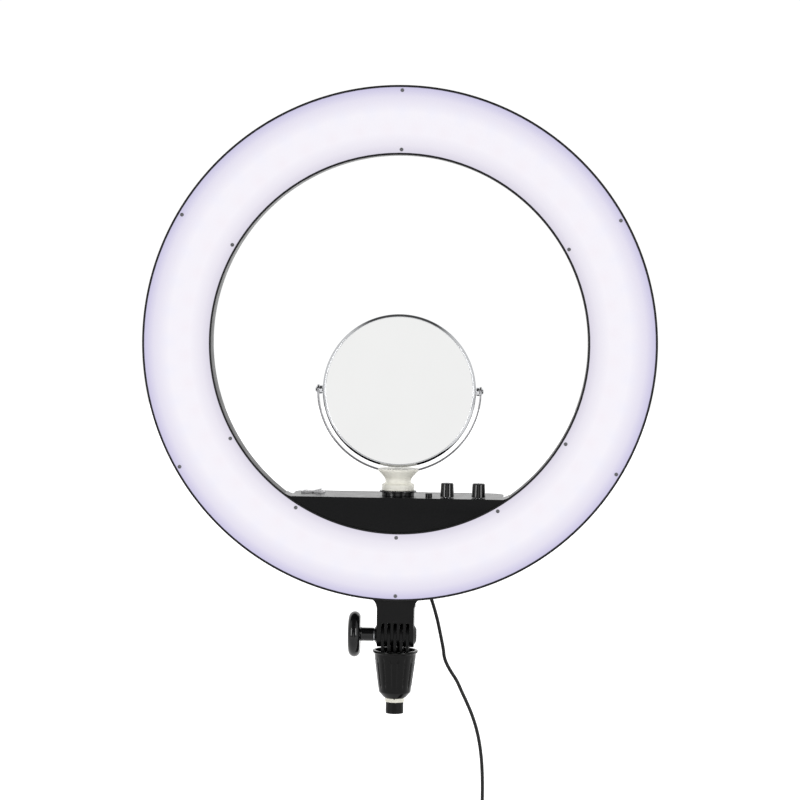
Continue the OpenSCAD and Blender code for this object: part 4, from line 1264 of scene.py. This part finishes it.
@dataclass
class PowerLead:
    """Lead from the plug under the control box to the adapter, with its spare length coiled.

    Args:
        shop: the workshop.
        diameter: the lead's diameter.
        route: places from the plug to the coil, in millimetres.
        still: number of the place from which on the lead does not move with the head.
        layers: layers of turns across the coil.
        rows: turns beside each other in each layer.
        clear: mean radius of the coil, in diameters.
        gap: straight lead between the coil and the adapter's relief.
    """

    shop: Workshop
    diameter: float = 3.2 * MM
    route: Sequence[Point] = (
        (25, 32, 118.6), (25.2, 32, 112), (27.5, 32, 106), (31, 31.5, 99), (36, 30.5, 83),
        (39.5, 30, 68), (42.2, 30, 55), (43.4, 30, 47), (45.6, 30, 41), (49.5, 30, 34),
        (55, 30, 25.5), (60, 30, 15), (65, 30, 4.5), (69.5, 30, -6), (73.5, 30, -18),
        (76.5, 30, -31), (78.5, 30, -45), (79.6, 30, -60), (80, 30, -76), (80, 30, -98),
        (80, 30, -120))
    still: int = 15
    layers: int = 4
    rows: int = 4
    clear: float = 5.5
    gap: float = 38 * MM

    def coil(self) -> np.ndarray:
        """The coil's turns.

        Each row is wound as a flat spiral, inwards and outwards in turn. A turn keeps one radius
        for five sixths of its way and slides to the next turn's place over the last sixth.

        Returns:
            Points of the turns, clockwise as seen from the front, n by 3.
        """
        d = self.diameter
        start = np.array(self.route[-1]) * MM
        outer = self.clear * d + (self.layers - 1) * d / 2
        turn = np.arange(self.layers * self.rows + 1)
        row = np.minimum(turn // self.layers, self.rows - 1)
        step = turn % self.layers
        layer = np.where(row % 2 == 0, step, self.layers - 1 - step)
        layer[-1] = 0
        angle = np.linspace(0, self.layers * self.rows, self.layers * self.rows * 48 + 1)
        whole = np.minimum(angle.astype(int), len(turn) - 2)
        part = smoothstep(angle - whole, 5 / 6, 1)
        radius = outer - d * (layer[whole] * (1 - part) + layer[whole + 1] * part)
        depth = d * (row[whole] * (1 - part) + row[whole + 1] * part)
        a = -TURN * angle
        centre = start - np.array([outer, 0, 0])
        return centre + np.stack([radius * np.cos(a), depth, radius * np.sin(a)], axis=1)

    def path(self) -> np.ndarray:
        """The whole centreline: the free stretch, the coil and the straight end."""
        free = smooth_path(np.array(self.route) * MM, 6)
        coil = self.coil()
        end = coil[-1] - np.array([0, 0, self.gap])
        tail = np.linspace(coil[-1], end, 14)
        return np.vstack([free, coil[1:], tail[1:]])

    def lead(self) -> None:
        """Builds the lead as one tube, which rides on no body.
        """
        path = self.path()
        tube = build("power_lead", [swept(path, circle(self.diameter / 2, 12))])
        self.shop.fit(tube, "cord", ride=False)
        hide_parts("cord_coil", "cord_tail")
        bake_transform(tube)
        log.info("power lead: %.3f m", path_length(path))

    def relief(self, node: str, thin_end_low: bool) -> bpy.types.Object:
        """A tapered strain relief with rings moulded round it.

        The radius grows evenly from a little over the lead's to the wide end's, less a shallow
        cosine groove between rings, which fades out at both ends.

        Args:
            node: the node that it stands for.
            thin_end_low: the lead leaves it downwards.

        Returns:
            The piece.
        """
        middle, half = extent(node)
        rings, deep, skin = 6, 0.22 * MM, 0.2 * MM
        wide, thin, height = half[0], self.diameter / 2 + skin, 2 * half[2]
        t = np.linspace(0, 1, 61)
        ends = smoothstep(t, 0.0, 0.1) * smoothstep(1 - t, 0.0, 0.1)
        groove = deep * (0.5 - 0.5 * np.cos(TURN * rings * t)) * ends
        radius = thin + (wide - thin) * t - groove
        along = t * height if thin_end_low else (1 - t) * height
        profile = np.stack([radius, along], axis=1)
        profile = np.vstack([[0, profile[0, 1]], profile, [0, profile[-1, 1]]])
        piece = build(node + "_ribbed", [turned(profile, Axis.Z, middle - [0, 0, half[2]], 40)])
        return self.shop.fit(piece, node)

    def strap(self) -> bpy.types.Object:
        """A webbing strap closed round the coil's turns: a flat section carried round an oblong."""
        middle, half = extent("coil_tie")
        thick, wide, inset = 0.9 * MM, 6 * MM, 0.5 * MM
        loop = rectangle(half[1] - inset, half[2] - inset, 2 * MM)
        path = np.insert(middle[1:] + loop, 0, middle[0], axis=1)
        section = rectangle(thick / 2, wide / 2, 0.3 * MM, steps=3)
        piece = build("lead_strap", [swept(path, section, side=(1, 0, 0), closed=True)])
        return self.shop.fit(piece, "coil_tie", material="strap_weave")

    def build(self) -> None:
        """Builds the lead and everything on it."""
        nodes = self.shop.frame["nodes"]
        pieces = [
            self.relief("adapter_relief", thin_end_low=False), self.strap(),
            nodes["adapter_case"], nodes["adapter_blades"]]
        self.relief("plug_relief", thin_end_low=True)
        self.shop.soften("dc_plug", width=0.2 * MM)
        self.lead()


# ---- scene


def main() -> None:
    """Loads the model, builds the studio and every sub-assembly."""
    logging.basicConfig(level=logging.INFO, format="%(message)s", stream=sys.stdout)
    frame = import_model()
    cad_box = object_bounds()
    centre, half = extent("ring_housing")
    wardrobe = Wardrobe(frame)
    wardrobe.dress_frame()
    shop = Workshop(frame, wardrobe)
    clearance = 0.5 * MM
    Studio(tuple(centre), centre[1] - half[1], cad_box[0][2] - clearance).build()
    RingShell(shop).build()
    ControlPanel(shop).build()
    MirrorAssembly(shop).build()
    TiltJoint(shop).build()
    PowerLead(shop).build()


if __name__ == "__main__":
    main()
